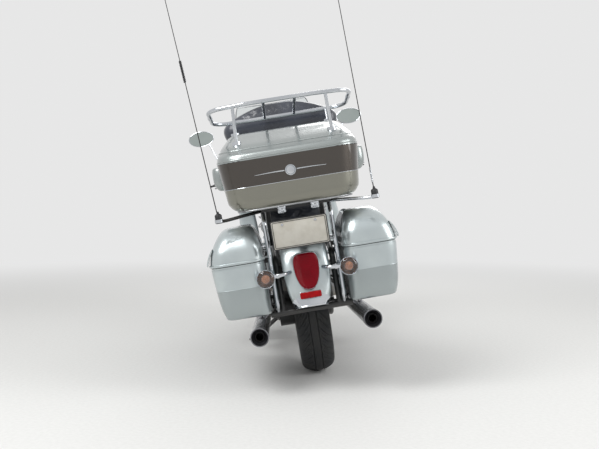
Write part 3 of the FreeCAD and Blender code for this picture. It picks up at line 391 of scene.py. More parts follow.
def sweep(points, radius, sides=10, closed=False, squeeze=1.0):
    """Round bar along points; radius is a number or a function of the share of the way."""
    points = [Vector(p) for p in points]
    count = len(points)
    rings = []
    normal = None
    for i, p in enumerate(points):
        before = points[i - 1] if (i or closed) else p
        after = points[(i + 1) % count] if (i < count - 1 or closed) else p
        tangent = (after - before).normalized()
        if normal is None:
            helper = Vector((0, 0, 1)) if abs(tangent.z) < 0.9 else Vector((1, 0, 0))
            normal = tangent.cross(helper).normalized()
        normal = (normal - tangent * normal.dot(tangent)).normalized()
        other = tangent.cross(normal)
        r = radius(i / max(count - 1, 1)) if callable(radius) else radius
        ring = []
        for k in range(sides):
            angle = 2 * math.pi * k / sides
            q = p + (normal * math.cos(angle) * squeeze + other * math.sin(angle)) * r
            ring.append((q.x, q.y, q.z))
        rings.append(ring)
    return skin(rings, closed=closed)


def block(x0, x1, y0, y1, z0, z1, edge=1.5):
    """Box with softened edges along X, as points and faces."""
    rings = []
    wide = 2 * edge
    for x, inset, r in ((x0, edge, edge), (x0 + edge, 0, wide), (x1 - edge, 0, wide), (x1, edge, edge)):
        rings.append([(x, a, b) for a, b in loop(y0 + inset, y1 - inset, z0 + inset, z1 - inset, r, 3, 2)])
    return skin(rings)


def between(table, at):
    """Value at a place in rows of (place, value) that run upwards, held past its ends."""
    if at <= table[0][0]:
        return table[0][1]
    for (a0, v0), (a1, v1) in zip(table, table[1:]):
        if at <= a1:
            return v0 + (v1 - v0) * (at - a0) / (a1 - a0)
    return table[-1][1]


def shade(mesh, sharp):
    """Smooth shading with sharp edges past an angle in degrees."""
    mesh.shade_smooth()
    mesh.set_sharp_from_angle(angle=math.radians(sharp))


def new_object(name, shape, sharp):
    """Object from points and faces on the upright machine."""
    points, faces = shape
    mesh = bpy.data.meshes.new(name)
    mesh.from_pydata([place(*p) for p in points], [], faces)
    work = bmesh.new()
    work.from_mesh(mesh)
    bmesh.ops.remove_doubles(work, verts=work.verts, dist=1e-6)
    bmesh.ops.dissolve_degenerate(work, dist=1e-7, edges=work.edges)
    bmesh.ops.recalc_face_normals(work, faces=work.faces)
    work.to_mesh(mesh)
    work.free()
    shade(mesh, sharp)
    obj = bpy.data.objects.new(name, mesh)
    scene.collection.objects.link(obj)
    return obj


def bake(obj):
    """Give an object the mesh that its modifiers make of it."""
    done = bpy.data.meshes.new_from_object(obj.evaluated_get(bpy.context.evaluated_depsgraph_get()))
    obj.modifiers.clear()
    obj.data = done


def piece(name, shape, material, body="chassis", replaces=(), sharp=38.0):
    """Object from points and faces on the upright machine, riding on a body."""
    obj = new_object(name, shape, sharp)
    obj.data.materials.append(material)
    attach(obj, body)
    if replaces:
        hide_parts(*replaces)
    return obj


def cut_out(obj, shapes):
    """Cut shapes out of an object with Boolean modifiers, applied."""
    for shape in shapes:
        tool = new_object("cutter", shape, 30)
        cut = obj.modifiers.new("cut", "BOOLEAN")
        cut.operation = "DIFFERENCE"
        cut.solver = "EXACT"
        cut.object = tool
        bpy.context.view_layer.update()
        bake(obj)
        bpy.data.objects.remove(tool)
    shade(obj.data, 38)


def bolts(places, radius, height):
    """Hexagon bolt heads; places are (centre, outward direction)."""
    profile = [(-1.0, 0.01), (-1.0, radius), (height - 1, radius), (height, radius - 1), (height, 0.01)]
    return merged([lathe(profile, centre, outward, 6) for centre, outward in places])


def dress(material, *names):
    """Give CAD nodes a material, with smooth shading between close faces."""
    for name in names:
        mesh = nodes[name].data
        mesh.materials.clear()
        mesh.materials.append(material)
        shade(mesh, 32)


# CAD nodes that stay, with their materials

dress(frame_black, "frame_tubes", "swingarm", "side_stand")
dress(alloy, "engine_block", "engine_cylinders")
dress(chrome, "engine_covers", "rear_rails", "bag_guards", "luggage_rack", "engine_guards", "handlebar")
dress(black_plastic, "radiator", "dash", "grips", "plate")
dress(exhaust_material("exhaust_left", 1), "exhaust_left")
dress(exhaust_material("exhaust_right", -1), "exhaust_right")
dress(body_paint, "fuel_tank", "side_covers", "lower_cowls")
dress(bright_alloy, "fork_legs")
dress(chrome, "mirrors")
dress(black_steel, "floorboards")
dress(wheel_alloy, "front_rim", "rear_rim")
dress(disc_steel, "front_discs", "rear_disc")


# luggage

WALL = 4.5


def hollow(name, rows, floor_first, material, replaces, body="chassis"):
    """Hollow body as one closed shell: outside from the closed end to the rim, then back inside.

    Rows run upwards; floor_first says that the lowest row is the closed end.
    """
    rows = list(rows) if floor_first else list(reversed(rows))
    limit = rows[0][0] + (WALL if floor_first else -WALL)
    inside = []
    for z, x0, x1, y0, y1, r in rows:
        low, high = sorted((y0, y1))
        z = max(z, limit) if floor_first else min(z, limit)
        inside.append((z, x0 + WALL, x1 - WALL, low + WALL, high - WALL, max(r - WALL, 4)))
    piece(name, skin(flat_rings(rows) + flat_rings(reversed(inside))), material, body, replaces=replaces)


def ring_bar(name, row, grow, radius, material, body="chassis", squeeze=1.0):
    """Bar round a body along one of its rows, moved out by a distance."""
    z, x0, x1, y0, y1, r = row
    low, high = sorted((y0, y1))
    path = [(a, b, z) for a, b in loop(x0 - grow, x1 + grow, low - grow, high + grow, r + grow, 9, 6)]
    piece(name, sweep(path, radius, 8, True, squeeze), material, body)


def even_rows(rows):
    """Smooth rows with the same reach to both sides. Columns: z, x0, x1, half width, corner radius."""
    return smooth_rows([(z, x0, x1, -half, half, r) for z, x0, x1, half, r in rows], 3)


TRUNK_ROWS = even_rows([
    (827, -572, -169, 230, 66), (829, -580, -161, 238, 76), (836, -590, -151, 252, 84),
    (846, -597.5, -143.5, 267, 91), (860, -602.5, -137.5, 278, 96.5), (875, -605.5, -133.5, 285.5, 100),
    (930, -608, -131, 292, 104), (985, -610, -128, 299, 108), (1043, -612, -125, 306, 112),
])
hollow("trunk_body", TRUNK_ROWS, True, trunk_paint, ("trunk_shell",))

LID_ROWS = even_rows([
    (1043.5, -612, -125, 306, 112), (1058, -609, -126, 304.5, 111), (1073.5, -600, -128, 300.5, 108),
    (1093.5, -566, -131, 291.5, 100), (1114.5, -526, -135, 280, 91), (1144, -445, -143, 259, 78),
    (1166, -384, -149, 242, 67), (1173.5, -352, -157, 226, 56), (1176.3, -318, -176, 198, 46),
    (1177.5, -280, -205, 146, 26),
])
hollow("trunk_lid_skin", LID_ROWS, False, shaded_lid_paint, ("trunk_lid",), "trunk_lid")

ring_bar("trunk_foot_strip", (832, -587, -154, -246, 246, 81), 0.5, 4.2, bright_alloy)
ring_bar("trunk_band_line", (931, -608, -131, -292, 292, 104), 0.2, 1.3, chrome)
ring_bar("trunk_gasket", (1043, -612, -125, -306, 306, 112), -1.2, 2.2, rubber, squeeze=0.5)
ring_bar("lid_edge_bead", (1052, -610.5, -125.5, -305, 305, 111), 0.2, 2.6, shaded_lid_paint, "trunk_lid")
ring_bar("lid_shoulder_bead", (1092, -569, -131, -292.3, 292.3, 101), 0.3, 2.2, shaded_lid_paint, "trunk_lid")

# plain boss and strips on the trunk's rear
BOSS_Z = 975
boss = [(0, 0.01), (0, 24), (4, 24), (7, 22.5), (8, 19.5), (5, 17), (6.5, 13), (8.5, 7), (9.2, 0.01)]
piece("trunk_boss", lathe(boss, (-606.5, 0, BOSS_Z), BEHIND, 40), chrome)
strips = []
for _, side in SIDES:
    strip_path = [(-609.5, side * y, BOSS_Z + 1.5 * math.sin(y / 40)) for y in (26, 60, 100, 130, 152)]
    strips.append(sweep(spline(strip_path, 4), lambda t: 3.4 - 2.4 * t, 8))
piece("trunk_strips", merged(strips), chrome)

# latches under the trunk's rear edge
latches = []
for y in (63, -78):
    latches.append(block(-597, -578, y - 17, y + 17, 801, 831, 3))
    latches.append(block(-601, -586, y - 11, y + 11, 806, 821, 3))
piece("trunk_latches", merged(latches), chrome)

# speaker pods on the trunk's sides
POD_ROWS = smooth_rows([
    (936, -392, -198, 270, 312, 22), (941, -402, -188, 262, 322, 26), (965, -416, -174, 260, 336, 32),
    (1005, -418, -172, 262, 339, 32), (1034, -412, -178, 266, 336, 30), (1040, -404, -186, 270, 326, 26),
], 3)
for label, side in SIDES:
    piece(f"speaker_pod_{label}", skin(flat_rings(on_side(side, POD_ROWS))), shaded_lid_paint)
    grille = []
    for index in range(-4, 5):
        z = 988 + index * 9
        reach = 66 * math.sqrt(1 - (index / 5) ** 2)
        line = [(-295 - reach, side * 338.5, z), (-295, side * 340.5, z), (-295 + reach, side * 338.5, z)]
        grille.append(sweep(spline(line, 4), 2.2, 6))
    piece(f"speaker_grille_{label}", merged(grille), black_plastic)


# saddlebags, with rows for on_side
BAG_INNER = 172.0
BAG_ROWS = [
    (382, -560, -66, 12, 356, 34), (384, -568, -58, 4, 363, 38), (392, -574, -50, 0, 370, 43),
    (442, -584, -28, 0, 385, 52), (530, -586.5, -18, 0, 395.5, 55), (598, -587.6, -13, 0, 401.5, 57.5),
    (603.5, -585, -15.5, 2, 399.5, 56), (615, -585, -15.5, 2, 399.8, 56),
]
BAG_LID_ROWS = [
    (615.5, -588, -12, 0, 403, 58), (640, -587, -19, 0.5, 400, 59), (675.5, -582, -40, 2.5, 391, 60),
    (705, -568, -84, 9, 378, 58), (733.5, -546, -136, 18, 360, 54), (756, -514, -196, 27, 341, 46),
    (767, -486, -240, 38, 324, 38), (770.5, -456, -276, 52, 306, 26),
]
# name, row, growth, radius, squeeze and material of each bar round a bag, and whether the lid carries it
BAG_BARS = (
    ("lip", (620.5, -588, -12.5, 0.5, 402.5, 58), 1.6, 5.6, 0.75, bag_paint, True),
    ("gasket", (613.5, -585, -15.5, 2.5, 399.5, 56), -0.4, 1.8, 0.6, rubber, False),
    ("crease", (511, -586.2, -19, 1, 394, 55), 0.0, 1.2, 1.0, bag_paint, False),
)
# bulge outwards from the lid's side, and height, of the cover that stands off it
SIDE_COVER = [(1.5, 694), (7.5, 676), (12, 655), (14.5, 636), (14, 624), (10.5, 623), (9.5, 637), (7, 655),
              (3.5, 672), (-1, 689)]
COVER_MIDDLE = 655
# height and reach of the lid's side
LID_FLANK = [(615, 403), (640, 400), (675.5, 391), (705, 378)]
HINGE_Y, HINGE_Z = 404, 615.25
for label, side in SIDES:
    lid_body = f"bag_lid_{label}"
    body_rows = smooth_rows(on_side(side, BAG_ROWS, BAG_INNER), 4)
    lid_rows = smooth_rows(on_side(side, BAG_LID_ROWS, BAG_INNER), 3)
    hollow(f"bag_body_{label}", body_rows, True, bag_paint, (f"bag_{label}",))
    hollow(f"bag_cover_{label}", lid_rows, False, bag_paint, (f"bag_lid_{label}",), lid_body)
    for name, row, grow, radius, squeeze, material, on_lid in BAG_BARS:
        ring_bar(f"bag_{name}_{label}", on_side(side, [row], BAG_INNER)[0], grow, radius, material,
                 lid_body if on_lid else "chassis", squeeze)
    stations = []
    for x, share in ((-548, 0.9), (-545, 1), (-500, 1), (-458, 1), (-455, 0.9)):
        ring = []
        for out, z in SIDE_COVER:
            y = between(LID_FLANK, z) + out * share
            ring.append((x, side * y, COVER_MIDDLE + (z - COVER_MIDDLE) * share))
        stations.append(ring)
    piece(f"bag_side_cover_{label}", skin(stations), bag_paint, lid_body)
    # hinge tubes, one half on the bag and one on the lid
    for name, body, low, high in (("barrels", "chassis", 0.5, 39), ("knuckles", lid_body, 40.5, 79)):
        tubes = []
        for x in (-420, -220):
            tubes.append(sweep([(x + end, side * HINGE_Y, HINGE_Z) for end in (low, high)], 4.6, 14))
        piece(f"bag_{name}_{label}", merged(tubes), bright_alloy, body)


# rear fender

# columns: outer point x and z, inner edge point x and z
FENDER_STATIONS = [
    (141, 660, 150, 562), (60, 694, 80, 561), (-60, 699, -40, 560), (-160, 700.5, -165, 552),
    (-260, 699, -300, 541), (-350, 696, -372, 515), (-430, 687, -430, 478), (-495, 666, -465, 455),
    (-535, 634, -495, 438), (-561, 590, -518, 422), (-576, 540, -534, 411), (-588, 480, -546, 402),
    (-601, 430, -556, 394), (-609, 396, -572, 389),
]
# height and half width
FENDER_WIDTH = [(385, 66), (412, 81), (450, 92.5), (535, 101), (640, 104), (690, 96), (702, 90)]
# share of the half width and depth below the crown, across the arch
FENDER_ARCH = [(0.0, 0.0), (0.3, 0.8), (0.5, 2.5), (0.66, 6), (0.79, 12), (0.89, 20), (0.96, 31), (0.99, 44)]


def fender_section(outer_x, outer_z, inner_x, inner_z):
    """Points across the fender from its right edge over the crown to its left edge."""
    outer = Vector((outer_x, 0, outer_z))
    run = Vector((inner_x, 0, inner_z)) - outer
    depth = run.length
    shape = [(share, min(d, depth * 0.9)) for share, d in FENDER_ARCH] + [(1.0, depth * 0.92), (1.0, depth)]
    half = []
    for share, d in shape:
        p = outer + run * (d / depth)
        half.append((p.x, share * between(FENDER_WIDTH, p.z), p.z))
    return [(x, -y, z) for x, y, z in reversed(half[1:])] + half


def fender_skin():
    """Closed thin shell of the rear fender."""
    thick = 3.5
    rings = []
    for station in smooth_rows(FENDER_STATIONS, 3):
        section = fender_section(*station)
        crown = Vector(section[len(section) // 2])
        inward = ((Vector(section[0]) + Vector(section[-1])) / 2 - crown).normalized() * thick
        inside = []
        for x, y, z in section:
            inside.append((x + inward.x, y - math.copysign(min(thick, abs(y)), y), z + inward.z))
        inside[0] = (section[0][0], section[0][1] + thick, section[0][2])
        inside[-1] = (section[-1][0], section[-1][1] - thick, section[-1][2])
        rings.append(section + inside[::-1])
    return skin(rings)


piece("fender_shell", fender_skin(), fender_paint, replaces=("rear_fender",))
tip_rings = []
for station in smooth_rows(FENDER_STATIONS[-3:], 5)[-7:]:
    face = [(x - 1.6, y * 1.018, z - 0.4) for x, y, z in fender_section(*station)]
    tip_rings.append(face + [(x + 2.2, y * 0.985, z + 0.2) for x, y, z in reversed(face)])
piece("fender_tip_trim", skin(tip_rings), chrome)
lip_path = [(x - 0.5, y * 1.01, z + 1) for x, y, z in fender_section(*FENDER_STATIONS[-1])]
piece("fender_tip_bead", sweep(lip_path, 4.0, 8), chrome)


# tail lamp, reflector, signals and plate

LAMP_MIDDLE = 552.0
# half outline of the tail lamp: half width, height
LAMP_HALF = [(0, 624.5), (20, 624.2), (35, 622.5), (46, 616), (53, 603), (56, 585), (56, 566), (54.5, 545),
             (51.5, 526), (47, 508), (40.5, 491), (32, 477.5), (20, 467.5), (9, 463.8), (0, 463)]
LAMP_SIDE = [(z, half) for half, z in reversed(LAMP_HALF)]
# lens stations: share of the outline, x
LENS = [(0.955, -598), (0.955, -603.5), (0.935, -607.5), (0.88, -611), (0.78, -614), (0.6, -616.5),
        (0.4, -618), (0.18, -618.6), (0.0, -618.8)]


def shield(scale, x):
    """Outline of the tail lamp at one station, scaled about its middle."""
    points = LAMP_HALF + [(-y, z) for y, z in reversed(LAMP_HALF[1:-1])]
    points = spline(points, 3, True)
    return [(x, y * scale, LAMP_MIDDLE + (z - LAMP_MIDDLE) * scale) for y, z in points]


def lens_x(y, z):
    """Where the lens lies at a point seen from behind."""
    low, high = 0.0, 1.0
    for _ in range(24):
        share = (low + high) / 2
        inside = abs(y) <= share * between(LAMP_SIDE, LAMP_MIDDLE + (z - LAMP_MIDDLE) / share)
        low, high = (low, share) if inside else (share, high)
    return between(LENS[:0:-1], high)


lamp_body = [shield(share, x) for share, x in
             ((0.90, -540), (0.95, -560), (0.985, -590), (1.0, -596), (1.0, -600), (0.97, -603))]
piece("tail_lamp_body", skin(lamp_body), chrome, replaces=("tail_lamp",))
piece("tail_lens", skin([shield(share, x) for share, x in LENS[:-1]]), red_lens)
ribs = []
for z in range(473, 620, 7):
    reach = 0.86 * between(LAMP_SIDE, z)
    rib = [(lens_x(reach * t, z) - 0.1, reach * t, z) for t in (-1, -0.8, -0.5, -0.2, 0.2, 0.5, 0.8, 1)]
    ribs.append(sweep(rib, 0.9, 6))
piece("tail_lens_ribs", merged(ribs), red_lens)

# columns: x, half width, z0, z1, corner radius
reflector = [(-575, 43, 433, 455, 4), (-617, 45.5, 430.5, 457.5, 6), (-620.5, 44.5, 431.5, 456.5, 6),
             (-622, 41, 435, 453, 5)]
piece("reflector", skin(upright_rings(reflector, 0.0, 4, 4)), reflex_red)
piece("reflector_frame", block(-617, -600, -47, 47, 429, 459, 2.5), chrome)


def turned(label, side, y, z, rows):
    """Pieces turned about one line along the machine. Columns: name, count, material, slot, node, profile;
    the slot is not used.

    The node, where one is named, is replaced by the left piece. A profile has x and radius.
    """
    for name, count, material, slot, node, profile in rows:
        piece(f"{name}_{label}", lathe(profile, (0, side * y, z), AHEAD, count), material,
              replaces=(node,) if node and side == 1 else ())


SIGNAL_Y, SIGNAL_Z = 177, 539
SIGNAL = (
    ("signal_cup", 48, chrome, None, "rear_signals",
     [(-590, 0.01), (-590, 9), (-595, 15), (-603, 28), (-610, 36), (-618, 39.4), (-628, 39.8), (-630, 38.8),
      (-630, 37), (-620, 35), (-612, 28), (-608, 13), (-607, 0.01)]),
    ("signal_lens", 48, lamp_glass, None, None,
     [(-628.5, 36.6), (-631, 36.4), (-635, 33), (-638.5, 25), (-640.6, 13), (-641, 0.01), (-639, 0.01),
      (-638.6, 12), (-636.7, 23.5), (-633.4, 31), (-630, 34.4), (-628.5, 34.8), (-628.5, 36.6)]),
    ("signal_bulb", 28, amber, None, None,
     [(-608, 0.01), (-608, 8), (-613, 10), (-617, 16), (-623, 18.5), (-629, 16), (-632.5, 9),
      (-633.5, 0.01)]),
)
for label, side in SIDES:
    turned(label, side, SIGNAL_Y, SIGNAL_Z, SIGNAL)
    stalk = [(-597, 166, 539), (-597, 130, 542), (-592, 95, 545), (-556, 62, 548)]
    stalk = [(x, side * y, z) for x, y, z in stalk]
    piece(f"signal_stalk_{label}", sweep(spline(stalk, 5), 9, 14), chrome)
    collar = sweep([(-597, side * 120, 542.8), stalk[1]], 11.5, 16)
    piece(f"signal_collar_{label}", collar, chrome)

PLATE_X, PLATE_Y, PLATE_Z = -634.0, 3.0, 712.0


def plate_rings(rows, corner=5, side=6):
    """Rings about the plate's middle. Columns: x from the plate's, half width, half height, corner radius."""
    rows = [(PLATE_X + x, half, PLATE_Z - tall, PLATE_Z + tall, r) for x, half, tall, r in rows]
    return upright_rings(rows, PLATE_Y, corner, side)


sheet = plate_rings([(0.6, 116.5, 58.2, 7), (-0.8, 116.5, 58.2, 7), (-1.4, 115.5, 57.2, 6)], 4, 4)
piece("plate_sheet", skin(sheet), plate_white)
piece("plate_border", sweep(plate_rings([(-1.5, 111, 53, 5)])[0], 1.3, 8, True), black_plastic)
piece("plate_holder", sweep(plate_rings([(-0.5, 117.5, 59.2, 7)])[0], 2.4, 8, True), black_plastic)
plate_heads = [((PLATE_X - 1.6, PLATE_Y + y, PLATE_Z + 42), BEHIND) for y in (-70, 70)]
piece("plate_bolts", bolts(plate_heads, 6, 3), chrome)

# antennas
COIL_TURNS = 14
# columns: label, side, foot, tip, heights of the coil, radius of the coil
ANTENNAS = (("left", 1, (-607, 330, 800), (-640, 407, 1880), (1400, 1490), 6.4),
            ("right", -1, (-607, -334, 800), (-640, -300, 1880), (868, 930), 4.6))
for label, side, base, end, (low, high), radius in ANTENNAS:
    foot, top = Vector(base), Vector(end)

    def at(z, foot=foot, top=top):
        return foot + (top - foot) * ((z - foot.z) / (top.z - foot.z))

    mount = [(0, 0.01), (0, 13), (3, 15), (34, 15), (38, 12.5), (42, 6), (50, 4.5), (52, 0.01)]
    piece(f"antenna_foot_{label}", lathe(mount, base, UP, 28), black_plastic,
          replaces=("antennas",) if side == 1 else ())
    whip = sweep([at(z) for z in (842, 1200, 1500, 1879)], lambda t: 2.2 - 0.8 * t, 8)
    piece(f"antenna_whip_{label}", whip, black_steel)
    coil = []
    for k, (a, b) in enumerate(circle(radius - 1.6, 12) * COIL_TURNS):
        p = at(low + (high - low) * k / (12 * COIL_TURNS))
        coil.append((p.x + a, p.y + b, p.z))
    p = at(high)
    coil.append((p.x + radius - 1.6, p.y, p.z))
    core = sweep([at(low), at(high)], radius - 2.2, 10)
    piece(f"antenna_coil_{label}", merged([sweep(coil, 1.6, 6), core]),
          black_plastic if side == 1 else chrome)
    arm = [(*base[:2], 810), (-603, side * 300, 808), (-540, side * 215, 816), (-470, side * 140, 821)]
    piece(f"antenna_arm_{label}", sweep(spline(arm, 6), 7, 12), black_steel if side == 1 else chrome)
    clamp = sweep([(-607, base[1], 803), (-607, base[1], 817)], 17.5, 24)
    piece(f"antenna_clamp_{label}", clamp, chrome)


# grey inserts a little inside the muffler tips
for label, side in SIDES:
    tip, run = muffler_axis(side)
    cone = [(9, 34.6), (12, 34.2), (30, 21.5), (24, 19.6), (24, 17.2), (34, 17.0), (34, 20), (14, 34.8),
            (9, 34.6)]
    piece(f"tip_insert_{label}", lathe(cone, tip, run, 48), insert_metal)


# seats and backrest, padded

PAD_PRESSURE = 4.0
PAD_VOXEL = PAD_REACH = 0.006
SWELL_FRAMES = 20


def puff(obj):
    """Swell a pad with a short cloth simulation, with no point moving further than its reach."""
    remesh = obj.modifiers.new("remesh", "REMESH")
    remesh.mode = "VOXEL"
    remesh.voxel_size = PAD_VOXEL
    bpy.context.view_layer.update()
    bake(obj)
    rest = [v.co.copy() for v in obj.data.vertices]
    cloth = obj.modifiers.new("swell", "CLOTH")
    cloth.settings.use_pressure = True
    cloth.settings.uniform_pressure_force = PAD_PRESSURE
    cloth.settings.effector_weights.gravity = 0.0
    cloth.settings.quality = 5
    cloth.point_cache.frame_start = 1
    cloth.point_cache.frame_end = SWELL_FRAMES
    for number in range(1, SWELL_FRAMES + 1):
        scene.frame_set(number)
    bake(obj)
    for vertex, start in zip(obj.data.vertices, rest):
        move = vertex.co - start
        if move.length > PAD_REACH:
            vertex.co = start + move * (PAD_REACH / move.length)
    scene.frame_set(1)
    obj.data.shade_smooth()


def pad(name, shape, replaces=(), body="chassis"):
    """Padded vinyl piece in the space of its CAD solid."""
    obj = piece(name, shape, vinyl, body, replaces=replaces, sharp=60)
    puff(obj)
    rounder = obj.modifiers.new("round", "SUBSURF")
    rounder.levels = 1
    rounder.render_levels = 1


rider_rows = smooth_rows([
    (404, 110, 690, 780, 40), (412, 146, 676, 802, 48), (432, 158, 670, 806, 54), (520, 184, 669, 768, 46),
    (600, 184, 669, 752, 42), (680, 167, 670, 758, 42), (760, 138, 682, 778, 42), (806, 110, 697, 790, 38),
    (814, 84, 712, 776, 28),
], 3)
pad("rider_pad", skin(upright_rings(rider_rows)), ("seat_pad",))
passenger_rows = smooth_rows([
    (-92, 100, 730, 792, 28), (-84, 136, 712, 810, 40), (-50, 150, 706, 824, 50), (120, 170, 706, 842, 56),
    (300, 168, 696, 842, 58), (376, 160, 690, 836, 58), (396, 146, 700, 820, 50), (402, 110, 716, 800, 40),
], 3)
pad("passenger_pad", skin(upright_rings(passenger_rows)))
back_rows = even_rows([
    (1058, -172, -104, 160, 30), (1064, -180, -97, 184, 38), (1100, -188, -94, 226, 44),
    (1150, -191, -92, 258, 48), (1195, -189, -96, 274, 46), (1226, -184, -100, 268, 41),
    (1252, -177, -106, 238, 34), (1275, -170, -112, 192, 28), (1294, -163, -118, 142, 22),
    (1307, -156, -124, 92, 15), (1313, -150, -129, 52, 10),
])
pad("backrest_pad", skin(flat_rings(back_rows)), ("backrest",), "trunk_lid")


for name, rows in (("rider_piping", rider_rows), ("passenger_piping", passenger_rows)):
    for label, side in SIDES:
        path = [(x, side * (half + 4.5), z1 - 0.42 * (z1 - z0)) for x, half, z0, z1, r in rows[2:-2:3]]
        piece(f"{name}_{label}", sweep(spline(path, 3), 2.6, 8), vinyl)


# wheels

def arc_points(a, b, c, count):
    """Points on the circle through three (y, r) points, from the first to the last."""
    (ax, ay), (bx, by), (cx, cy) = a, b, c
    d = 2 * (ax * (by - cy) + bx * (cy - ay) + cx * (ay - by))
    ux = ((ax**2 + ay**2) * (by - cy) + (bx**2 + by**2) * (cy - ay) + (cx**2 + cy**2) * (ay - by)) / d
    uy = ((ax**2 + ay**2) * (cx - bx) + (bx**2 + by**2) * (ax - cx) + (cx**2 + cy**2) * (bx - ax)) / d
    radius = math.hypot(ax - ux, ay - uy)
    start, middle, end = (math.atan2(y - uy, x - ux) for x, y in (a, b, c))
    middle = start + math.remainder(middle - start, 2 * math.pi)
    end = middle + math.remainder(end - middle, 2 * math.pi)
    angles = [start + (end - start) * k / count for k in range(count + 1)]
    return [(ux + radius * math.cos(angle), uy + radius * math.sin(angle)) for angle in angles]


# radius of the tread's arch across the tyre, and blocks round it
CROWN = 120.0
TREAD_BLOCKS = 46


def tyre(body, name, node, axle, radius, width, rim_radius):
    """Tyre with circumferential grooves and slanted side cuts in its tread."""
    half = width / 2

    def crown(y):
        return radius - CROWN + math.sqrt(CROWN**2 - y * y)

    shoulder_y = 0.71 * half
    shoulder_r = crown(shoulder_y)
    side_r = (radius + rim_radius) / 2
    bead_y = 0.76 * half
    corner = (0.965 * half, (shoulder_r + side_r) / 2 + 8)
    tread_y = (0, 5, 10, 14, 15, 18, 21, 22, 26, 30, 34, 38, 42, 46, 50, shoulder_y)
    crown_half = [(y, crown(y)) for y in tread_y]
    side = arc_points((shoulder_y, shoulder_r), corner, (half, side_r), 8)[1:]
    wall = [(half - 1.5, side_r - 14), (half - 5, side_r - 30), (bead_y + 5, rim_radius + 18),
            (bead_y + 3, rim_radius + 8), (bead_y, rim_radius + 2), (bead_y - 1, rim_radius)]
    right = crown_half + side + wall
    profile = [(-y, r) for y, r in reversed(right[1:])] + right
    inner = [(bead_y - 10, rim_radius), (half - 14, side_r), (0, radius - 20), (-half + 14, side_r),
             (-bead_y + 10, rim_radius)]
    per_block = 12
    count = TREAD_BLOCKS * per_block

    def shift(along, r):
        reach = min(max(0.0, abs(along) - 21.0), 45.0)
        return 0.0045 * reach if r > side_r - 4 else 0.0

    points, faces = lathe(profile + inner + profile[:1], axle, ACROSS, count, shift=shift)
    lowered = []
    for number, (x, y, z) in enumerate(points):
        row, k = divmod(number, count)
        depth = 0.0
        if row < len(profile):
            along, r = profile[row]
            out = abs(along)
            if 15 < out < 21:
                depth = 4.5
            elif 23 < out < 0.93 * half and r > side_r:
                phase = (k + (per_block // 2 if along < 0 else 0)) % per_block
                if phase in (0, 1):
                    depth = 3.6
                elif phase == 6 and 30 < out < 47:
                    depth = 2.6
        if depth:
            arm = Vector((x - axle[0], 0, z - axle[2])).normalized() * depth
            x, z = x - arm.x, z - arm.z
        lowered.append((x, y, z))
    piece(name, (lowered, faces), tyre_rubber, body, replaces=(node,), sharp=30)
    lines = []
    for side_sign in (1, -1):
        for level, out in ((side_r - 22, 0.2), (side_r - 46, -0.4)):
            y_wall = side_sign * (half - 1.5 - (side_r - 14 - level) * 0.12 + out)
            ring = [(axle[0] + a, y_wall, axle[2] + b) for a, b in circle(level, 96)]
            lines.append(sweep(ring, 1.3, 6, True))
    piece(f"{name}_lines", merged(lines), tyre_rubber, body)


# columns: body, tread, node, axle, radius, width, rim radius
WHEELS = (("rear_wheel", "rear_tread", "rear_tyre", REAR_AXLE, 325.0, 155.0, 190.5),
          ("front_wheel", "front_tread", "front_tyre", FRONT_AXLE, 323.0, 150.0, 203.2))
for wheel in WHEELS:
    tyre(*wheel)
    body, _, _, axle, _, width, radius = wheel
    beads = []
    for sign in (1, -1):
        y = sign * 0.38 * width
        # columns: inwards from the bead, radius from the rim's
        profile = [(y - sign * inwards, radius + out) for inwards, out in
                   ((3, -12), (0, -11), (-1.5, -5), (0, 4), (2, 5), (3, -2), (3, -12))]
        beads.append(lathe(profile, axle, ACROSS, 96))
    piece(f"{body}_flange", merged(beads), wheel_alloy, body)
    valve = []
    for depth, y in ((14, 22), (44, 26)):
        valve.append((axle[0] - (radius - depth) * 0.5, y, axle[2] + (radius - depth) * 0.866))
    piece(f"{body}_valve", sweep(valve, 4, 10), rubber, body)


def disc_bolts(axle, side):
    """Bolt heads on a brake disc's carrier."""
    heads = [((axle[0] + a, side * 71.0, axle[2] + b), (0, side, 0)) for a, b in circle(34, 5, 126)]
    return bolts(heads, 6, 5)


front_heads = merged([disc_bolts(FRONT_AXLE, side) for _, side in SIDES])
piece("front_disc_bolts", front_heads, chrome, "front_wheel")
piece("rear_disc_bolts", disc_bolts(REAR_AXLE, -1), chrome, "rear_wheel")

# front fender
# half width and radius, from the right edge to the crown
guard_half = [(86, 268), (86, 292), (86, 312), (84.5, 324), (80, 334), (72, 342), (60, 347.5), (40, 350.5),
              (20, 351.6), (0, 352)]
fender_profile = guard_half + [(-y, r) for y, r in guard_half[-2::-1]]
fender_inside = [(y * 0.965, r - 3.0 if r > 300 else r) for y, r in reversed(fender_profile)]
section = fender_profile + fender_inside
points, faces = lathe(section + section[:1], FRONT_AXLE, ACROSS, 90, 22.0, 180.0)
steps = 91
starts = [k * steps for k in range(len(section))]
faces += [tuple(starts), tuple(k + steps - 1 for k in reversed(starts))]
piece("front_guard", (points, faces), fender_paint, "fork", replaces=("front_fender",))
trims = []
for angle in (22.0, 202.0):
    a = math.radians(angle)
    path = [(FRONT_AXLE[0] + r * math.cos(a), y, FRONT_AXLE[2] + r * math.sin(a)) for y, r in fender_profile]
    trims.append(sweep(path, 3.6, 8))
piece("front_guard_trim", merged(trims), chrome, "fork")

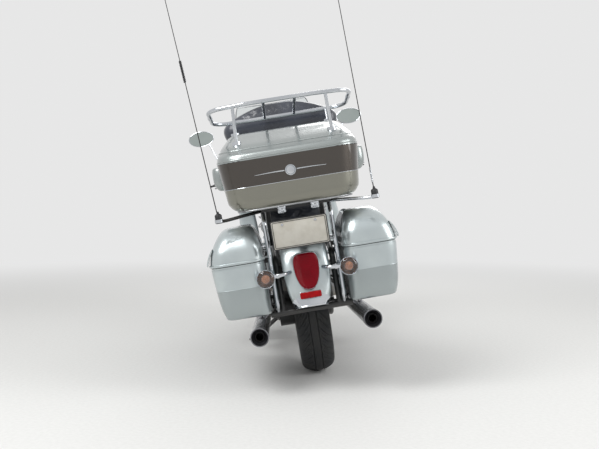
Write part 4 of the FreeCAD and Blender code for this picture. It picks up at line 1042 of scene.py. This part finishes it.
# fairing
fairing_rows = smooth_rows([
    (1412, 340, 800, 1095, 62), (1480, 318, 799, 1096, 64), (1560, 288, 801, 1094, 64),
    (1610, 257, 806, 1074, 62), (1650, 224, 815, 1046, 60), (1680, 200, 828, 1020, 54),
    (1698, 178, 846, 998, 46), (1702, 150, 866, 976, 34), (1703, 100, 890, 950, 20),
], 3)
outer_rings = upright_rings(fairing_rows)
inner_rings = upright_rings([(min(x, 1697) - (0 if x < 1420 else 3), half - 5, z0 + 5, z1 - 5, max(r - 5, 6))
                             for x, half, z0, z1, r in reversed(fairing_rows)])
both_skins = skin(outer_rings[::-1] + inner_rings[::-1])
fairing = piece("fairing_skin", both_skins, body_paint, replaces=("fairing",))


def cylinder(start, end, radius, count=48):
    """Closed cylinder between two points."""
    run = Vector(end) - Vector(start)
    points, faces = lathe([(0, radius), (run.length, radius)], start, run, count)
    return points, faces + [tuple(range(count - 1, -1, -1)), tuple(range(count, 2 * count))]


def steer_point(along):
    """Point of the steering axis at a distance up it from the ground."""
    return (STEER_FOOT_X - along * math.sin(RAKE), 0, along * math.cos(RAKE))


LAMP_Y, LAMP_Z = 90, 922
TURN_Y, TURN_Z = 232, 858
cutters = [cylinder(steer_point(650), steer_point(1065), 165.0, 64)]
for _, side in SIDES:
    cutters.append(cylinder((1590, side * LAMP_Y, LAMP_Z), (1730, side * LAMP_Y, LAMP_Z), 75.0))
    cutters.append(cylinder((1550, side * TURN_Y, TURN_Z), (1660, side * TURN_Y, TURN_Z), 31.0))
cut_out(fairing, cutters)

# windscreen
screen_rows = smooth_rows([(1096, 1547, 1452, 262), (1180, 1453, 1366, 258), (1270, 1352, 1272, 251),
                           (1360, 1248, 1180, 236), (1420, 1177, 1118, 221), (1441, 1151, 1097, 209)], 4)


def screen_line(row, shares, back=0.0):
    """Points across the screen at one height; a row is z, middle x, edge x, half width."""
    z, middle, edge, half = row
    return [(middle - (middle - edge) * t * t - back, t * half, z) for t in shares]


across = [k / 10 - 1 for k in range(21)]
screen_rings = [screen_line(row, across) + screen_line(row, across, 4.0)[::-1] for row in screen_rows]
piece("screen", skin(screen_rings), screen_glass, replaces=("windscreen",))
left_edge = [screen_line(row, (1,), 2.0)[0] for row in screen_rows[::2]]
along_top = screen_line(screen_rows[-1], (0.9, 0.7, 0.45, 0.2, 0, -0.2, -0.45, -0.7, -0.9), 2.0)
top = [(x, y, z + 1.0) for x, y, z in along_top]
outline = left_edge + top + [(x, -y, z) for x, y, z in reversed(left_edge)]
piece("screen_edge", sweep(spline(outline, 2), 3.2, 8), bright_alloy)
base = [(1547 - 95 * (y / 262) ** 2 - 2, y, 1098) for y in range(-262, 263, 26)]
piece("screen_base_strip", sweep(base, 6.5, 10, squeeze=0.7), chrome)

# lamps at the front
HEAD_LAMP = (
    ("head_lamp_bowl", 56, chrome, None, "front_lamps",
     [(1618, 0.01), (1619, 20), (1630, 44), (1652, 62), (1684, 71), (1700, 73.5), (1712, 74), (1714, 72),
      (1706, 70.5), (1686, 68), (1656, 59), (1634, 42), (1623, 20), (1622, 0.01)]),
    ("head_lamp_glass", 56, lamp_glass, None, None,
     [(1702, 69.5), (1708, 66), (1712.5, 52), (1715, 30), (1716, 0.01), (1713, 0.01), (1712, 29), (1709, 50),
      (1704, 64), (1700, 67), (1702, 69.5)]),
    ("head_lamp_bulb", 24, bright_alloy, "lamp_glass", None,
     [(1622, 0.01), (1622, 11), (1640, 11), (1652, 9), (1660, 5), (1662, 0.01)]),
)
TURN_LAMP = (
    ("turn_body", 40, chrome, None, None,
     [(1562, 0.01), (1563, 22), (1575, 29), (1622, 30), (1630, 30), (1631, 27.5), (1622, 26), (1600, 20),
      (1592, 0.01)]),
    ("turn_lens", 40, amber, "lamp_glass", None,
     [(1628, 26.5), (1634, 25), (1640, 19), (1643.5, 9), (1644, 0.01), (1641.5, 0.01), (1641, 8.5),
      (1638, 17), (1632.5, 23), (1628, 24), (1628, 26.5)]),
)
for label, side in SIDES:
    turned(label, side, LAMP_Y, LAMP_Z, HEAD_LAMP)
    turned(label, side, TURN_Y, TURN_Z, TURN_LAMP)

# instruments
DIAL_Z = 1030
faces, rims, ticks = [], [], []
for y, radius in ((-110, 42), (0, 58), (110, 42)):
    faces.append(lathe([(1483.5, 0.01), (1483.5, radius - 4)], (0, y, DIAL_Z), AHEAD, 48))
    rim = [(1486, radius - 5), (1480, radius - 4), (1478, radius - 1), (1480, radius + 2), (1490, radius + 2)]
    rims.append(lathe(rim, (0, y, DIAL_Z), AHEAD, 48))
    for angle in range(-30, 211, 24):
        a, b = math.cos(math.radians(angle)), math.sin(math.radians(angle))
        ticks.append(sweep([(1482.6, y + r * a, DIAL_Z + r * b) for r in (radius - 15, radius - 8)], 1.1, 6))
    ticks.append(sweep([(1482.0, y - r * 0.7, DIAL_Z - r * 0.7) for r in (0, radius - 14)], 1.4, 6))
piece("dial_faces", merged(faces), dial_black)
piece("dial_rims", merged(rims), chrome)
piece("dial_ticks", merged(ticks), dial_white)

# engine details
# columns: side, x, z, radius, y of each round cover
COVERS = ((1, 860, 350, 82, 222), (1, 712, 342, 60, 212), (1, 1000, 345, 46, 208), (-1, 850, 348, 86, 226),
          (-1, 700, 345, 58, 210), (-1, 1000, 340, 50, 208), (1, 848, 600, 52, 178), (-1, 848, 600, 52, 178))
cover_bolts, domes = [], []
for side, x, z, radius, y in COVERS:
    cover_bolts += [((x + a, side * y, z + b), (0, side, 0)) for a, b in circle(radius - 9, 6, 30)]
    if radius > 55:
        dome = [(-2, radius - 20), (3, radius - 21), (6, radius - 28), (7.5, radius * 0.3), (8, 0.01)]
        domes.append(lathe(dome, (x, side * y, z), (0, side, 0), 48))
piece("cover_bolts", bolts(cover_bolts, 5, 4), bright_alloy)
piece("cover_domes", merged(domes), chrome)
slats = [block(1289, 1293.5, -143, 143, z, z + 3.2, 0.8) for z in range(331, 565, 9)]
piece("radiator_slats", merged(slats), black_steel)
radiator_frame = upright_rings([(1291, 148, 327, 558, 8)], corner=5)[0]
piece("radiator_frame", sweep(radiator_frame, 4, 8, True), black_plastic)

# rubber on the floorboards
# columns: strips, first y, pitch, x0, x1, z0, z1
BOARD_STRIPS = ((8, 270, 11, 800, 1090, 295.5, 300), (6, 274, 12, 356, 520, 386.5, 390.5))
treads = []
for _, side in SIDES:
    for strips, first, pitch, x0, x1, z0, z1 in BOARD_STRIPS:
        for index in range(strips):
            y = side * (first + index * pitch)
            treads.append(block(x0, x1, y - 3.2, y + 3.2, z0, z1, 1.2))
piece("floorboard_rubber", merged(treads), rubber)

# tank trim
cap_rows = [(908, 0.01), (908, 34), (915, 34), (918, 32), (920, 26), (921, 0.01)]
for label, side in SIDES:
    cap_piece = lathe(cap_rows, (1085, side * 62, -5), UP, 40)
    piece(f"tank_cap_{label}", cap_piece, chrome)
spine = [(862, 862), (920, 888), (980, 903), (1050, 912), (1140, 916.5), (1220, 912), (1262, 903)]
piece("tank_spine", sweep(spline([(x, 0, z) for x, z in spine], 4), 12, 10, squeeze=1.6), chrome)

# grips
ridges = []
for _, side in SIDES:
    a, b = Vector((962, side * 400.4, 1000.4)), Vector((1068, side * 355.2, 1012.2))
    for index in range(13):
        p = a + (b - a) * (index + 0.5) / 13
        step = (b - a).normalized() * 2.6
        ridges.append(sweep([p - step, p + step], 18.2, 20))
piece("grip_ridges", merged(ridges), rubber, "fork")

# mirror glass, its grey-green tint a painted reflection
MIRROR_Y, MIRROR_Z = 461, 1291
glasses, bezels = [], []
for _, side in SIDES:
    def mirror_ring(x, half, tall, side=side):
        return [(x, side * MIRROR_Y + a, MIRROR_Z + b) for a, b in circle(half, 48, tall=tall)]

    glasses.append(skin([mirror_ring(1136.5, 73, 42.5), mirror_ring(1134.8, 73, 42.5)]))
    bezels.append(sweep(mirror_ring(1136.2, 75.5, 44.8), 2.6, 8, True))
piece("mirror_glass_painted_reflection", merged(glasses), mirror_glass_painted_reflection, "fork")
piece("mirror_bezels", merged(bezels), chrome, "fork")

# side cover panels
for label, side in SIDES:
    # columns: y, inset of the lower and upper edge, x0, x1, corner radius
    panel_rows = ((178, 0, 398, 544, 20), (184, 6, 404, 540, 22), (186, 14, 416, 532, 22))
    rings = [[(a, side * y, b) for a, b in loop(x0, x1, 462 + inset, 632 - inset, r)]
             for y, inset, x0, x1, r in panel_rows]
    piece(f"side_panel_{label}", skin(rings), body_paint)


# floor, light and camera

def plainly_seen(tree):
    """1 for rays of the camera, gloss and glass, and 0 for the rays that light the machine."""
    path = tree.nodes.new("ShaderNodeLightPath").outputs
    either = worked(tree, "MAXIMUM", path["Is Camera Ray"], path["Is Transmission Ray"])
    return worked(tree, "MAXIMUM", either, path["Is Glossy Ray"])


# strength at which the backdrop shows, where 1 is white
BACKDROP = 0.8
WHITE = (1, 1, 1, 1)


def floor():
    """Pale floor that fades into the backdrop away from the machine."""
    mesh = bpy.data.meshes.new("floor")
    half = 60.0
    corners = [(-half, -half, 0), (half, -half, 0), (half, half, 0), (-half, half, 0)]
    mesh.from_pydata(corners, [], [(0, 1, 2, 3)])
    obj = bpy.data.objects.new("floor", mesh)
    scene.collection.objects.link(obj)
    material = bpy.data.materials.new("floor")
    material.use_nodes = True
    tree = material.node_tree
    shader = tree.nodes["Principled BSDF"]
    spot = object_point(tree)
    speck = add(tree, "TexNoise", Vector=spot, Scale=60.0, Detail=3.0).outputs[0]
    tint = blend_colour(tree, band(tree, speck, 0.2, 0.8), rgb(226, 226, 224), rgb(220, 220, 218))
    fill(tree, shader.inputs["Base Color"], tint)
    shader.inputs["Roughness"].default_value = 0.85
    away = worked(tree, "LENGTH", spot, kind="VectorMath")
    share = worked(tree, "MULTIPLY", band(tree, away, 2.2, 7.0), plainly_seen(tree))
    light = add(tree, "Emission", Color=WHITE, Strength=BACKDROP).outputs["Emission"]
    mix = add(tree, "MixShader", share, shader.outputs["BSDF"], light).outputs["Shader"]
    fill(tree, tree.nodes["Material Output"].inputs["Surface"], mix)
    mesh.materials.append(material)


def lamp(name, position, aim, size, power):
    """Soft square lamp that points at a place."""
    data = bpy.data.lights.new(name, "AREA")
    data.shape = "SQUARE"
    data.size = size
    data.energy = power
    obj = bpy.data.objects.new(name, data)
    obj.location = position
    obj.rotation_euler = (Vector(aim) - Vector(position)).to_track_quat("-Z", "Y").to_euler()
    scene.collection.objects.link(obj)


def world():
    """Even light from all round, as pale as the backdrop where the camera, gloss or glass sees it."""
    made = bpy.data.worlds.new("studio")
    made.use_nodes = True
    scene.world = made
    tree = made.node_tree
    background = tree.nodes["Background"].inputs
    strength = add(tree, "MapRange", Value=plainly_seen(tree), To_Min=0.55, To_Max=BACKDROP).outputs["Result"]
    fill(tree, background["Color"], WHITE)
    fill(tree, background["Strength"], strength)


floor()
world()
lamp("key", (-3.2, 2.4, 4.2), (-0.4, 0, 0.6), 2.4, 150)
lamp("fill", (-2.4, -3.6, 2.6), (-0.4, 0, 0.6), 2.6, 70)
lamp("front", (4.2, -1.2, 3.6), (0.4, 0, 0.6), 2.6, 55)

YAW, PITCH, ROLL = math.radians(-2.054), math.radians(-1.945), math.radians(0.037)
turn = Matrix.Rotation(YAW, 3, "Z") @ Matrix.Rotation(-PITCH, 3, "Y") @ Matrix.Rotation(ROLL, 3, "X")
forward, left, up = turn.col[0], turn.col[1], turn.col[2]
camera_data = bpy.data.cameras.new("camera")
camera_data.sensor_width = 36.0
camera_data.lens = 52.0
camera_data.clip_start = 0.05
camera_data.clip_end = 200.0
camera = bpy.data.objects.new("camera", camera_data)
scene.collection.objects.link(camera)
basis = Matrix((-left, up, -forward)).transposed().to_4x4()
camera.matrix_world = Matrix.Translation((-4.9286, 0.0587, 0.8576)) @ basis
scene.camera = camera
scene.view_settings.view_transform = "Standard"
